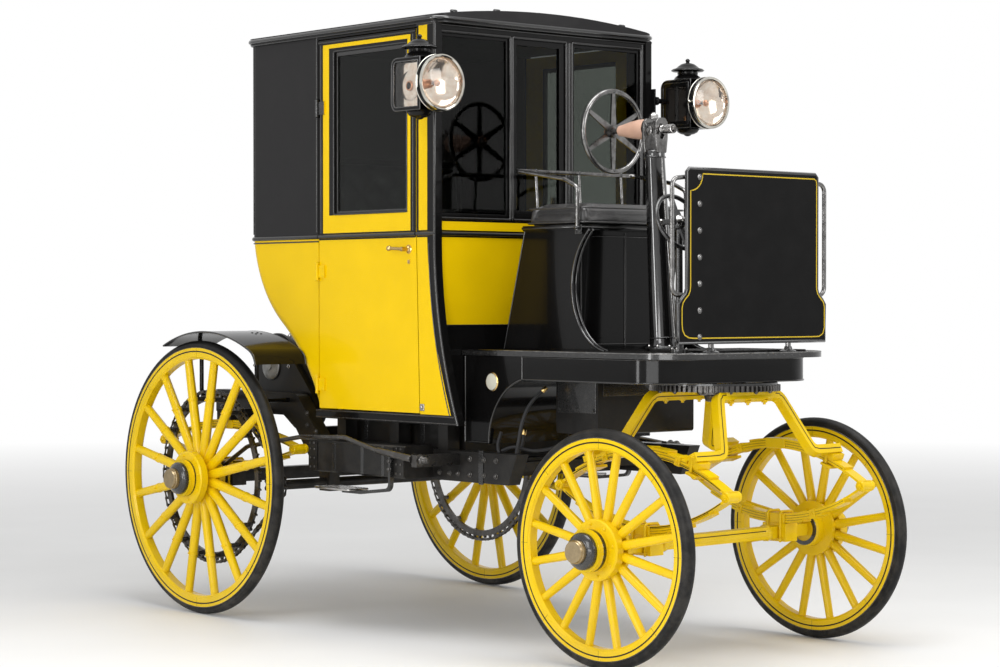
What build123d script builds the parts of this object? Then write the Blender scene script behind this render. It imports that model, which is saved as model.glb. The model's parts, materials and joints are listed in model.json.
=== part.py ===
from build123d import *
import math
import os

# A Victorian battery-electric cab: a brougham body on a beam frame, the driver on a
# raised platform in front, and a swivelling fore-carriage steered from a handwheel.
# Millimetres. X forward, Y to the cab's left, Z up. The drawing's X = 0 is the rear
# axle and Z = 0 the road; place() moves everything to the middle of the box.

os.makedirs("parts", exist_ok=True)

# ---------------------------------------------------------------- wheels
WHEELBASE = 2173
STEER_DEG = 3.0                 # the fore-carriage stands turned a little to the left
SPOKES = 16

REAR_R = 560                    # over the tyre
REAR_TYRE_DEPTH = 29
REAR_FELLOE_DEPTH = 46
REAR_FACE_Y = 800               # outer face of the rear felloe
REAR_HUB_OUT = 160              # hub's length outward from the middle of the felloe
REAR_FLANGE_OUT = 76            # outer face of the hub's big flange, from the same place
REAR_SPOKE_R = (21, 17)         # at the hub and at the felloe

FRONT_R = 420
FRONT_TYRE_DEPTH = 33
FRONT_FELLOE_DEPTH = 42
FRONT_FACE_Y = 610
FRONT_HUB_OUT = 153
FRONT_FLANGE_OUT = 46
FRONT_SPOKE_R = (18, 14.5)

FELLOE_W = 50
TYRE_W = 46
FLANGE_R = 108
BARREL_R = 74
HUB_IN = 75                     # hub's length inward from the middle of the felloe
AXLE_PIN_R = 22                 # journal that the wheels turn on
PIN_CLEAR = 0.05
SEAT_GAP = 0.3                  # between pieces that are bolted or laid together
REAR_MID_Y = REAR_FACE_Y - FELLOE_W / 2
FRONT_MID_Y = FRONT_FACE_Y - FELLOE_W / 2

# ---------------------------------------------------------------- heights
FLOOR_OVER_AXLE = 290
LOWER_BODY_H = 695              # cab floor to belt
UPPER_BODY_H = 793              # belt to eaves
PLATFORM_OVER_FLOOR = 248
CAB_FLOOR_Z = REAR_R + FLOOR_OVER_AXLE
BELT_Z = CAB_FLOOR_Z + LOWER_BODY_H
EAVES_Z = BELT_Z + UPPER_BODY_H
PLATFORM_Z = CAB_FLOOR_Z + PLATFORM_OVER_FLOOR

# ---------------------------------------------------------------- cab
CAB_HALF_W = 565
CAB_REAR_X = 45
CAB_FRONT_X = 1255
CAB_FLOOR_T = 22
SILL_H = 34
WALL = 30
MAT_T = 5                       # ribbed mats on the cab floor and the footboard
MAT_EDGE = 12
REAR_CORNER_R = 46
BILGE_X = 250                   # the rear panel's curve meets the bottom's here
BILGE_RISE = 332
SILL_REAR_X = 505
ROOF_CROWN = 42
ROOF_T = 24
ROOF_OVERHANG = 14

DOOR_REAR_X = 528
DOOR_W = 615
DOOR_GAP = 5
DOOR_FOOT_GROWTH = 20           # the front edge runs forward by this at the foot
DOOR_HEAD_DROP = 20
DOOR_SILL_Z = CAB_FLOOR_Z + DOOR_GAP + 1
DOOR_HEAD_Z = EAVES_Z - DOOR_HEAD_DROP
DOOR_FRONT_X = DOOR_REAR_X + DOOR_W
STILE = (99, 59)                # rear and front stiles beside the door's window
RAIL = (82, 51)                 # bottom and top rails of the window
WINDOW_X = (DOOR_REAR_X + STILE[0], DOOR_FRONT_X - STILE[1])
WINDOW_Z = (BELT_Z + RAIL[0], DOOR_HEAD_Z - RAIL[1])
GLASS_T = 5
GLASS_CLEAR = 0.2
HINGE_OUT = 8                   # door hinge pin stands outside the side by this
HINGE_PIN_R = 7
HINGE_H = 60

PILLAR_FOOT_X = CAB_FRONT_X + 144    # the front pillar sweeps forward to here at its foot
PILLAR_TOP_X = CAB_FRONT_X + 7
FRONT_PANES = ((WALL - CAB_HALF_W, -194), (-169, 98), (141, CAB_HALF_W - 58))    # sides in Y
FRONT_PANE_Z = (BELT_Z + 58, EAVES_Z - 42)

SEAT_BASE_X = (330, 620)        # passengers' seat board, back and front
SEAT_BASE_RISE = 365            # its top over the floor
SEAT_BASE_T = 20

# ---------------------------------------------------------------- driver's end
PLATFORM_T = 20
PLATFORM_HALF_W = 432
PLATFORM_FRONT_X = WHEELBASE + 222
PLATFORM_CORNER_R = 172
VALANCE_H = 90
VALANCE_T = 18
VALANCE_SETBACK = 83            # behind the platform's front edge
VALANCE_HALF_W = 420
VALANCE_REAR_X = CAB_FRONT_X + 335
BEARER_Y = 300                  # bearers under the platform
BEARER_W = 50
DASH_SETBACK = 27
DASH_T = 9
DASH_H = 649
DASH_FOOT_RISE = 37
DASH_HALF_W = 339
DASH_FLARE_HALF_W = 381
DASH_FLARE_RISE = 185
DASH_RAIL_R = 8
DASH_POST_Y = 200
DRIVER_SEAT_X = (CAB_FRONT_X + 185, CAB_FRONT_X + 495)
SEAT_HALF_W = 275
SEAT_BOARD_RISE = 468           # over the platform
SEAT_BOARD_T = 20
CUSHION_H = 81
SEAT_SIDE_Y = 265
SEAT_SIDE_T = 22
SEAT_RAIL_R = 8
SEAT_RAIL_H = 210               # over the seat board
COLUMN_TO_SEAT = 158            # column's middle ahead of the seat board
COLUMN_H = 790
COLUMN_R = (29, 24)             # at the foot and at the head
STEERING_HEAD_H = 76
HANDWHEEL_TO_COLUMN = 274
HANDWHEEL_R = 162
HANDWHEEL_TUBE_R = 9.5
HANDWHEEL_SPOKES = 6
SHAFT_R = 10
BRAKE_STAND = (WHEELBASE + 27, -210)
BRAKE_STAND_H = 465
BRAKE_RING_R = 105
LAMP_X = CAB_FRONT_X + 204      # plane of each lamp's glass
LAMP_Y = CAB_HALF_W + 137
LAMP_DROP = 255                 # glass centre below the eaves
LAMP_R = 104
LAMP_BODY_X = (LAMP_X - 221, LAMP_X - 47)
LAMP_BODY_HALF = (58, 100)      # half width and half height

# ---------------------------------------------------------------- frame
BEAM_Y = 450
BEAM_W = 58
BEAM_UNDER_FLOOR = 135
BEAM_H = 115
BEAM_FRONT_X = WHEELBASE - 545
BEAM_NOSE_RAKE = 50            # the nose slopes back so the steered wheels pass it
BEAM_REAR_X = -330
CROSS_BEAMS_X = (CAB_FRONT_X + 45, BEAM_FRONT_X - 133)   # between the low beams
CROSS_BEAM = (50, 36)           # length along X, and height
BEAM_ARCH_H = 93                # beam's depth where it passes over the rear axle
BEAM_TOP = CAB_FLOOR_Z - BEAM_UNDER_FLOOR
BEAM_LOW = BEAM_TOP - BEAM_H
ARCH_TOP = CAB_FLOOR_Z + 55
SIDE_BOX_X = (530, 1140)
SIDE_BOX_W = 140                # boxes hung outside the beams
BATTERY_X = (500, 1240)
BATTERY_HALF_W = 400
COUNTER_X = 440
COUNTER_DROP = 52               # countershaft below the beams
COUNTER_R = 20
SPROCKET_R = 345                # chain ring clipped inside the rear spokes
SPROCKET_TEETH = 60
SPROCKET_T = 12
SPROCKET_INSET = 52             # ring's middle, inboard of the felloe's middle
CHAIN_Y = REAR_MID_Y - SPROCKET_INSET
PINION_R = 62
PINION_TEETH = 11
CHAIN_CLEAR = 5
CHAIN_T = 12
CHAIN_W = 16
MOTOR_X = -15
MOTOR_OVER_FLOOR = 160
MOTOR_R = 158
MOTOR_HALF_L = 300
GEAR_CASE_R = (125, 95)         # round the motor's shaft and round the second shaft
GEAR_CASE_REACH = (205, -168)
GEAR_CASE_Y = (345, 412)
GUARD_Y = (CAB_HALF_W + 7, REAR_FACE_Y + 22)
GUARD_TAIL = -0.384             # places on the guard in wheel radii: its tail's X,
GUARD_CREST = (0.16, 1.071)     # then X and height over the axle
GUARD_NOSE = (0.72, 0.946)
GUARD_TIP = (0.80, 0.84)
GUARD_STAYS_X = (-200, 200)
GUARD_T = 6
GUARD_CLEAR = 14
STEP_Z = BEAM_LOW - 52
STEP_X = (650, 878)
STEP_ARM_X = 1068
ROD_Y = CHAIN_Y - 51            # radius rods, between the springs and the chains
ROD_R = 9
ROD_PATH = ((0, 38), (180, 130), (540, 183), (837, 194), (1027, 154), (1290, 128))   # X, rise
CONTROLLER_FRONT_X = WHEELBASE - 355
CONTROLLER_HALF_W = 250
CONTROLLER_H = 290

# ---------------------------------------------------------------- springs and turntable
SPRING_W = 50
LEAF_T = 9
LEAF_SHARES = (1.0, 0.8, 0.54, 0.32)    # length of each leaf, from the eyed one outward
SPRING_EYE_R = 17
FRONT_SPRING_Y = 370
FRONT_SPRING_A = 400
FRONT_SPRING_RISE = 122         # inside of the eyed leaf over the eyes
FRONT_SPRING_SEAT = 34          # axle's middle to the lowest leaf
REAR_SPRING_Y = 625
REAR_SPRING_A = 470
REAR_SPRING_RISE = 66
REAR_SPRING_SEAT = 28
AXLE_SQ = 44
REAR_AXLE_SQ = 52
RING_R = 238                    # toothed turntable, over the teeth
RING_T = 22
RING_W = 44
RING_TEETH = 72
RING_GAP = 8                    # below the bed that it slides on
IRON_W = 34
IRON_TOP_REACH = 157            # each iron's top stands this far from the axle
IRON_FOOT_REACH = 250
IRON_TOP_HALF = 165
IRON_LEG_HALF = 248
IRON_FOOT_HALF = 402
IRON_PAD_T = 22

# ---------------------------------------------------------------- worked out
STEER = math.radians(STEER_DEG)
FRONT_EXTENT = (WHEELBASE + FRONT_R * math.cos(STEER) + FRONT_FACE_Y * math.sin(STEER))
SHIFT_X = -(FRONT_EXTENT - REAR_R) / 2
SPRING_T = LEAF_T * len(LEAF_SHARES)
FRONT_SPRING_Z = FRONT_R + FRONT_SPRING_SEAT + FRONT_SPRING_RISE + SPRING_T
REAR_SPRING_Z = REAR_R + REAR_SPRING_SEAT + REAR_SPRING_RISE + SPRING_T
PLATFORM_LOW = PLATFORM_Z - PLATFORM_T
VALANCE_LOW = PLATFORM_LOW - VALANCE_H
VALANCE_FRONT_X = PLATFORM_FRONT_X - VALANCE_SETBACK
RING_Z = VALANCE_LOW - RING_GAP - RING_T
DASH_X = PLATFORM_FRONT_X - DASH_SETBACK
SEAT_BOARD_Z = PLATFORM_Z + SEAT_BOARD_RISE
COLUMN_X = DRIVER_SEAT_X[1] + COLUMN_TO_SEAT
COLUMN_TOP_Z = PLATFORM_Z + COLUMN_H
HANDWHEEL_X = COLUMN_X - HANDWHEEL_TO_COLUMN
HANDWHEEL_Z = COLUMN_TOP_Z + STEERING_HEAD_H / 2
COUNTER_Z = BEAM_LOW - COUNTER_DROP
MOTOR_Z = CAB_FLOOR_Z + MOTOR_OVER_FLOOR
UP = (Align.CENTER, Align.CENTER, Align.MIN)


# ---------------------------------------------------------------- helpers
def place(shape, steered=False):
    """Moves a shape from the drawing's frame to the part's, turning it with the fore-carriage."""
    if steered:
        shape = Pos(WHEELBASE, 0, 0) * Rot(0, 0, STEER_DEG) * Pos(-WHEELBASE, 0, 0) * shape
    return Pos(SHIFT_X, 0, 0) * shape


def save(node, shape, steered=False):
    export_step(place(shape, steered), f"parts/{node}.step")


def box(x, y, z):
    """A box from its two corners on each axis."""
    size = [abs(b - a) for a, b in (x, y, z)]
    mid = [(a + b) / 2 for a, b in (x, y, z)]
    return Pos(*mid) * Box(*size)


def about(middle, half):
    """The pair of values that lie half to each side of the middle."""
    return middle - half, middle + half


def both(shape):
    """The shape and its mirror image in the middle plane."""
    return Compound(children=[shape, mirror(shape, Plane.XZ)])


def side_plate(outline, y0, y1):
    """A face drawn in X and Z, made solid between two values of Y."""
    face = make_face(Plane.XZ * outline)
    low, high = min(y0, y1), max(y0, y1)
    return Pos(0, low, 0) * extrude(face, high - low, dir=(0, 1, 0))


def cross_plate(outline, x0, x1):
    """A face drawn in Y and Z, made solid between two values of X."""
    face = make_face(Plane.YZ * outline)
    return Pos(x0, 0, 0) * extrude(face, x1 - x0, dir=(1, 0, 0))


def raised(face, z0, z1):
    """A face drawn in plan, made solid between two heights."""
    return Pos(0, 0, z0) * extrude(face, z1 - z0, dir=(0, 0, 1))


def rod(a, b, r, end_r=None):
    """A round bar between two points, tapered where a second radius is given."""
    a, b = Vector(*a), Vector(*b)
    way = b - a
    if end_r is None:
        bar = Cylinder(r, way.length, align=UP)
    else:
        bar = Cone(r, end_r, way.length, align=UP)
    return Plane(origin=a, z_dir=way.normalized()) * bar


def bent_rod(points, r, bend):
    """A round bar along straight runs joined by arcs."""
    path = FilletPolyline(*points, radius=bend)
    return sweep(Plane(origin=path @ 0, z_dir=path % 0) * Circle(r), path)


def turned(profile):
    """A turned piece about Y: the profile gives radius and distance outward (-Y)."""
    outline = Polyline(*[(r, -u) for r, u in profile], close=True)
    return revolve(make_face(outline), Axis.Y)


def tooth_ring(tip, root, count, thick, inner, root_half, tip_half):
    """A flat ring about Z with teeth round it, its lower face at Z = 0."""
    ring = Cylinder(root, thick, align=UP) - Cylinder(inner, thick, align=UP)
    outline = Polyline((root - 3, -root_half), (tip, -tip_half), (tip, tip_half),
                       (root - 3, root_half), close=True)
    tooth = raised(make_face(outline), 0, thick)
    return ring.fuse(*[Rot(0, 0, i * 360 / count) * tooth for i in range(count)])


# ---------------------------------------------------------------- wheels
def hub_profile(hub_out, flange_out):
    """Radius and distance outward of each step of a hub, from its inner end to its cap."""
    bore = AXLE_PIN_R + PIN_CLEAR
    cap, collar, band, groove = 26, 30, 22, 6
    steps = [(bore, -HUB_IN), (BARREL_R - 12, -HUB_IN), (BARREL_R - 6, -HUB_IN + 7),
             (BARREL_R - 6, -36), (FLANGE_R - 4, -30), (FLANGE_R - 4, -16), (BARREL_R, -14),
             (BARREL_R, 14), (FLANGE_R, flange_out - 34), (FLANGE_R, flange_out - 5),
             (FLANGE_R - 5, flange_out)]
    at = hub_out - cap - collar - band - groove
    if at > flange_out + 1:
        steps += [(BARREL_R, flange_out), (BARREL_R, at)]
    steps += [(BARREL_R - 8, at), (BARREL_R - 8, at + groove),
              (BARREL_R - 1, at + groove), (BARREL_R - 1, at + groove + band)]
    at = hub_out - cap - collar
    steps += [(BARREL_R - 11, at), (BARREL_R - 11, at + collar - 12), (BARREL_R - 30, at + collar),
              (BARREL_R - 34, at + collar), (BARREL_R - 37, hub_out), (0, hub_out),
              (0, hub_out - 40), (bore, hub_out - 40)]
    return steps


def wheel_parts(radius, tyre_depth, felloe_depth, hub_out, flange_out, spoke_r):
    """The spoked wheel and its tyre, middle of the felloe at the origin, outer side -Y."""
    half = FELLOE_W / 2
    rim = radius - tyre_depth
    inner = rim - felloe_depth
    felloe = turned([(inner, -half + 8), (inner + 8, -half), (rim, -half), (rim, half),
                     (inner + 8, half), (inner, half - 8)])
    hub = turned(hub_profile(hub_out, flange_out))
    near, far = spoke_r
    root = BARREL_R - 12
    spoke = Pos(0, 0, root) * Cone(near, far, inner + 6 - root, align=UP)
    spokes = [Rot(0, (i + 0.5) * 360 / SPOKES, 0) * spoke for i in range(SPOKES)]
    wheel = hub.fuse(felloe, *spokes)
    tread = TYRE_W / 2
    shoulder = radius - tyre_depth * 0.45
    section = Polyline((rim, -tread), (shoulder, -tread))
    crown = ThreePointArc((shoulder, -tread), (radius, 0), (shoulder, tread))
    back = Polyline((shoulder, tread), (rim, tread), (rim, -tread))
    tyre = revolve(make_face(section + crown + back), Axis.Y)
    return wheel, tyre


def sprocket():
    """The toothed chain ring inside a rear wheel, with the lugs that hold it to the spokes."""
    root, inner = SPROCKET_R - 9, SPROCKET_R - 34
    ring = Pos(0, 0, -SPROCKET_T / 2) * tooth_ring(SPROCKET_R, root, SPROCKET_TEETH, SPROCKET_T,
                                                   inner, 6.5, 3)
    at = (root + inner) / 2
    near, far = REAR_SPOKE_R
    behind = near - (near - far) * at / REAR_R
    lug = Pos(at, 0, 0) * rod((0, 0, 0), (0, 0, SPROCKET_INSET - behind - SEAT_GAP), 9)
    lugs = [Rot(0, 0, (i + 0.5) * 360 / SPOKES) * lug for i in range(SPOKES)]
    return Rot(90, 0, 0) * ring.fuse(*lugs)


def build_wheels():
    rear = wheel_parts(REAR_R, REAR_TYRE_DEPTH, REAR_FELLOE_DEPTH, REAR_HUB_OUT,
                       REAR_FLANGE_OUT, REAR_SPOKE_R)
    front = wheel_parts(FRONT_R, FRONT_TYRE_DEPTH, FRONT_FELLOE_DEPTH, FRONT_HUB_OUT,
                        FRONT_FLANGE_OUT, FRONT_SPOKE_R)
    ring = Pos(0, SPROCKET_INSET, 0) * sprocket()
    rear_at = Pos(0, -REAR_MID_Y, REAR_R)
    front_at = Pos(WHEELBASE, -FRONT_MID_Y, FRONT_R)
    for side, flip in (("right", False), ("left", True)):
        for name, shape, at, steered in (
                ("wheel_rear", rear[0], rear_at, False),
                ("tyre_rear", rear[1], rear_at, False),
                ("sprocket", ring, rear_at, False),
                ("wheel_front", front[0], front_at, True),
                ("tyre_front", front[1], front_at, True)):
            piece = at * shape
            if flip:
                piece = mirror(piece, Plane.XZ)
            save(f"{name}_{side}", piece, steered)


# ---------------------------------------------------------------- springs and axles
def leaf_radius(half_length, rise):
    """Radius of the eyed leaf's inner face, for the reach and rise of half a spring."""
    return (half_length ** 2 + rise ** 2) / (2 * rise)


def leaf_height(half_length, rise, x, leaves):
    """Height over the eyes of the outer face of the given number of leaves, x from the middle."""
    r = leaf_radius(half_length, rise)
    return math.sqrt((r + leaves * LEAF_T) ** 2 - x ** 2) - (r - rise)


def leaf_spring(half_length, rise):
    """A full-elliptic spring in X and Z about its own middle: stepped leaves and end pins."""
    r = leaf_radius(half_length, rise)
    drop = r - rise

    def leaf(number, share):
        inner, outer = r + number * LEAF_T, r + (number + 1) * LEAF_T
        turn = math.asin(min(half_length * share, inner) / inner)

        def at(radius, angle):
            return radius * math.sin(angle), radius * math.cos(angle) - drop
        outline = (ThreePointArc(at(inner, -turn), at(inner, 0), at(inner, turn))
                   + Line(at(inner, turn), at(outer, turn))
                   + ThreePointArc(at(outer, turn), at(outer, 0), at(outer, -turn))
                   + Line(at(outer, -turn), at(inner, -turn)))
        return side_plate(outline, -SPRING_W / 2, SPRING_W / 2)

    leaves = [leaf(number, share) for number, share in enumerate(LEAF_SHARES)]
    upper = leaves[0].fuse(*leaves[1:])
    eyes = [Pos(end * half_length, 0, 0) * Rot(90, 0, 0) * Cylinder(SPRING_EYE_R, SPRING_W + 22)
            for end in (-1, 1)]
    return upper.fuse(mirror(upper, Plane.XY), *eyes)


def spring_pair(half_length, rise, x, y, z):
    return both(Pos(x, -y, z) * leaf_spring(half_length, rise))


def axle(half, square, x, z, journal, seat_y, seat_z):
    """A square axle with a round journal through it and a seat under each spring."""
    beam = Pos(x, 0, z) * Box(square, 2 * half, square)
    beam = beam + rod((x, -journal, z), (x, journal, z), AXLE_PIN_R)
    for side in (-1, 1):
        beam = beam + box(about(x, 55), about(side * seat_y, 34), (z - square / 2 - 12, seat_z))
    return beam


def build_fore_carriage():
    save("front_springs", spring_pair(FRONT_SPRING_A, FRONT_SPRING_RISE, WHEELBASE,
                                      FRONT_SPRING_Y, FRONT_SPRING_Z), True)
    half = FRONT_MID_Y - HUB_IN - DOOR_GAP
    journal = FRONT_MID_Y + FRONT_HUB_OUT - 42
    save("front_axle", axle(half, AXLE_SQ, WHEELBASE, FRONT_R, journal, FRONT_SPRING_Y,
                            FRONT_R + FRONT_SPRING_SEAT), True)

    leaves = sum(1 for share in LEAF_SHARES if share * FRONT_SPRING_A > IRON_FOOT_REACH + 24)
    arc_r = leaf_radius(FRONT_SPRING_A, FRONT_SPRING_RISE) + leaves * LEAF_T
    slope = math.asin(IRON_FOOT_REACH / arc_r)
    seat_z = FRONT_SPRING_Z + leaf_height(FRONT_SPRING_A, FRONT_SPRING_RISE, IRON_FOOT_REACH, leaves)
    top_z = RING_Z - IRON_W / 2
    foot_z = seat_z + IRON_PAD_T + 8
    lean = math.atan2(IRON_FOOT_REACH - IRON_TOP_REACH, top_z - foot_z)
    drop = (top_z - foot_z) / math.cos(lean)
    path = FilletPolyline((-IRON_FOOT_HALF, -drop), (-IRON_LEG_HALF, -drop), (-IRON_TOP_HALF, 0),
                          (IRON_TOP_HALF, 0), (IRON_LEG_HALF, -drop), (IRON_FOOT_HALF, -drop),
                          radius=38)
    path = Plane.YZ * path
    bar = sweep(Plane(origin=path @ 0, x_dir=(1, 0, 0), z_dir=path % 0)
                * Rectangle(IRON_W, IRON_W), path)
    bar = Pos(IRON_TOP_REACH, 0, top_z) * Rot(0, -math.degrees(lean), 0) * bar
    top = box(about(IRON_TOP_REACH, IRON_W / 2), about(0, IRON_TOP_HALF - 30),
              (top_z, RING_Z - SEAT_GAP))
    pads = [Pos(IRON_FOOT_REACH, side * FRONT_SPRING_Y, seat_z) * Rot(0, math.degrees(slope), 0)
            * Pos(0, 0, SEAT_GAP) * Box(48, SPRING_W + 12, IRON_PAD_T, align=UP) for side in (-1, 1)]
    under = box(about(0, WHEELBASE), about(0, WHEELBASE), (0, RING_Z - SEAT_GAP))
    iron = bar.fuse(top, *pads) & under
    irons = [Pos(WHEELBASE, 0, 0) * iron, Pos(WHEELBASE, 0, 0) * mirror(iron, Plane.YZ)]
    save("spring_irons", Compound(children=irons), True)

    ring = tooth_ring(RING_R, RING_R - 9, RING_TEETH, RING_T, RING_R - RING_W, 6, 2.5)
    bar = box(about(0, RING_R - RING_W + 5), about(0, 24), (0, RING_T))
    pin = Pos(0, 0, -36) * Cylinder(16, 110, align=UP)
    save("turntable_ring", Pos(WHEELBASE, 0, RING_Z) * (ring + bar + pin), True)


def build_rear_axle():
    half = REAR_MID_Y - HUB_IN - DOOR_GAP
    journal = REAR_MID_Y + REAR_HUB_OUT - 42
    save("rear_axle", axle(half, REAR_AXLE_SQ, 0, REAR_R, journal, REAR_SPRING_Y,
                           REAR_R + REAR_SPRING_SEAT))
    save("rear_springs", spring_pair(REAR_SPRING_A, REAR_SPRING_RISE, 0, REAR_SPRING_Y,
                                     REAR_SPRING_Z))


# ---------------------------------------------------------------- frame
def build_frame():
    half = BEAM_W / 2
    arch_low = ARCH_TOP - BEAM_ARCH_H
    nose_low = BEAM_FRONT_X - BEAM_NOSE_RAKE
    outline = FilletPolyline((BEAM_REAR_X, ARCH_TOP), (250, ARCH_TOP), (430, BEAM_TOP),
                             (BEAM_FRONT_X, BEAM_TOP), radius=60)
    lower = FilletPolyline((nose_low, BEAM_LOW), (380, BEAM_LOW), (205, arch_low),
                           (BEAM_REAR_X, arch_low), radius=60)
    ends = (Line((BEAM_FRONT_X, BEAM_TOP), (nose_low, BEAM_LOW))
            + Line((BEAM_REAR_X, arch_low), (BEAM_REAR_X, ARCH_TOP)))
    beam = side_plate(outline + lower + ends, -BEAM_Y - half, -BEAM_Y + half)
    spring_top = REAR_SPRING_Z + REAR_SPRING_RISE + SPRING_T + SEAT_GAP
    beam = beam + box(about(0, 50), (-REAR_SPRING_Y - 40, -BEAM_Y), (spring_top, arch_low + 24))
    for x in (560, 900, 1200):
        beam = beam + box(about(x, 28), about(-BEAM_Y, half),
                          (BEAM_TOP - 5, CAB_FLOOR_Z - CAB_FLOOR_T - SEAT_GAP))
    frame = beam + mirror(beam, Plane.XZ)
    inner = BEAM_Y - half
    long, high = CROSS_BEAM
    bars = [(BEAM_REAR_X + 30, ARCH_TOP - 47), (335, BEAM_TOP + 35)]
    bars += [(x, BEAM_TOP - 55) for x in CROSS_BEAMS_X]
    for x, z in bars:
        frame = frame + box(about(x, long / 2), about(0, inner), about(z, high / 2))
    save("main_frame", frame)

    top = CAB_FLOOR_Z - CAB_FLOOR_T - SEAT_GAP
    outer = BEAM_Y + half + SEAT_GAP
    side_box = box(SIDE_BOX_X, (-outer - SIDE_BOX_W, -outer), (BEAM_LOW + 7, BEAM_TOP + 16))
    side_box = chamfer(side_box.edges().filter_by(Axis.X), 6)
    middle = box(BATTERY_X, about(0, BATTERY_HALF_W), (BEAM_LOW, top))
    save("battery_box", Compound(children=[middle, side_box, mirror(side_box, Plane.XZ)]))


def hull_plate(a, ra, b, rb, y0, y1):
    """A plate in X and Z round two circles, with straight tangents between them."""
    circles = (Pos(*a) * Circle(ra)).edges() + (Pos(*b) * Circle(rb)).edges()
    face = Plane.XZ * make_hull(circles)
    low, high = min(y0, y1), max(y0, y1)
    return Pos(0, low, 0) * extrude(face, high - low, dir=(0, 1, 0))


def build_drive():
    shaft_z = MOTOR_Z
    barrel = rod((0, -MOTOR_HALF_L + 40, 0), (0, MOTOR_HALF_L - 40, 0), MOTOR_R)
    for y in (-200, 0, 200):
        barrel = barrel + rod((0, y - 14, 0), (0, y + 14, 0), MOTOR_R + 8)
    for side in (-1, 1):
        barrel = barrel + rod((0, side * (MOTOR_HALF_L - 41), 0), (0, side * MOTOR_HALF_L, 0),
                              MOTOR_R - 6, MOTOR_R - 46)
        barrel = barrel + rod((0, side * 280, 0), (0, side * 350, 0), 44)
    second = (GEAR_CASE_REACH[0], GEAR_CASE_REACH[1])
    case = hull_plate((0, 0), GEAR_CASE_R[0], second, GEAR_CASE_R[1], *[-y for y in GEAR_CASE_Y])
    y0, y1 = GEAR_CASE_Y
    case = case + hull_plate((0, 0), GEAR_CASE_R[0] + 12, second, GEAR_CASE_R[1] + 12,
                             -(y0 + y1) / 2 - 7, -(y0 + y1) / 2 + 7)
    beam_in = BEAM_Y - BEAM_W / 2 - SEAT_GAP
    lug_low, lug_high = ARCH_TOP - BEAM_ARCH_H + 8 - shaft_z, ARCH_TOP - 6 - shaft_z
    case = case + box((-40, 60), (-beam_in, -y0 - 10), (lug_low, lug_high))
    motor = barrel + case + mirror(case, Plane.XZ)
    save("motor", Pos(MOTOR_X, 0, shaft_z) * motor)

    shaft = rod((COUNTER_X, -CHAIN_Y, COUNTER_Z), (COUNTER_X, CHAIN_Y, COUNTER_Z), COUNTER_R)
    pinion = tooth_ring(PINION_R, PINION_R - 10, PINION_TEETH, SPROCKET_T, COUNTER_R - 2, 12, 5)
    pinion = Rot(90, 0, 0) * Pos(0, 0, -SPROCKET_T / 2) * pinion
    for side in (-1, 1):
        shaft = shaft + Pos(COUNTER_X, side * CHAIN_Y, COUNTER_Z) * pinion
        shaft = shaft + box(about(COUNTER_X, 34), about(side * BEAM_Y, 26), (COUNTER_Z - 34, BEAM_LOW))
    save("countershaft", shaft)

    wheel, drive = (0, REAR_R), (COUNTER_X, COUNTER_Z)
    big, small = SPROCKET_R + CHAIN_CLEAR, PINION_R + SEAT_GAP
    y0, y1 = -CHAIN_Y - CHAIN_W / 2, -CHAIN_Y + CHAIN_W / 2
    band = hull_plate(wheel, big + CHAIN_T, drive, small + CHAIN_T, y0, y1)
    band = band - hull_plate(wheel, big, drive, small, y0 - 1, y1 + 1)
    save("chains", both(band))

    bar = bent_rod([(x, -ROD_Y, REAR_R + rise) for x, rise in ROD_PATH], ROD_R, 90)
    eye_z = REAR_R + ROD_PATH[0][1] + 6
    eye = rod((0, -ROD_Y - 11, eye_z), (0, -ROD_Y + 11, eye_z), 2 * ROD_R)
    block = box(about(ROD_PATH[-1][0] - 6, 16), (-ROD_Y - 16, -BEAM_Y - BEAM_W / 2 - SEAT_GAP),
                (BEAM_LOW + 62, BEAM_TOP - 8))
    save("radius_rods", both(bar.fuse(eye, block)))


def guard_line(inset):
    """The guard's run from tail to curled tip, and the arc over the wheel, in X and Z."""
    reach = REAR_R + GUARD_CLEAR + GUARD_T
    tail_x = GUARD_TAIL * REAR_R
    tail = (tail_x, REAR_R + math.sqrt(reach ** 2 - tail_x ** 2) - inset)
    crest, nose, tip = [(x * REAR_R, REAR_R + z * REAR_R)
                        for x, z in (GUARD_CREST, GUARD_NOSE, GUARD_TIP)]
    arc = ThreePointArc(tail, (crest[0], crest[1] - inset), (nose[0] - inset / 3, nose[1] - inset))
    curl = TangentArc(arc @ 1, (tip[0] - inset, tip[1]), tangent=arc % 1)
    return arc, curl


def mudguard():
    """A curved sheet over a rear tyre, its front end curled down, on two stays."""
    arc, curl = guard_line(0)
    under, under_curl = guard_line(GUARD_T)
    outline = (arc + curl + Line(curl @ 1, under_curl @ 1) + under_curl + under
               + Line(under @ 0, arc @ 0))
    guard = side_plate(outline, -GUARD_Y[1], -GUARD_Y[0])
    middle, r = under.arc_center, under.radius
    y, low = -CHAIN_Y + 83, ARCH_TOP - 30
    stays = []
    for x in GUARD_STAYS_X:
        top = middle.Y + math.sqrt(r ** 2 - (x - middle.X) ** 2) + 2
        stays.append(bent_rod([(x, -BEAM_Y - BEAM_W / 2 - SEAT_GAP, low), (x, y, low), (x, y, top)],
                              9, 40))
    return guard.fuse(*stays)


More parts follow.
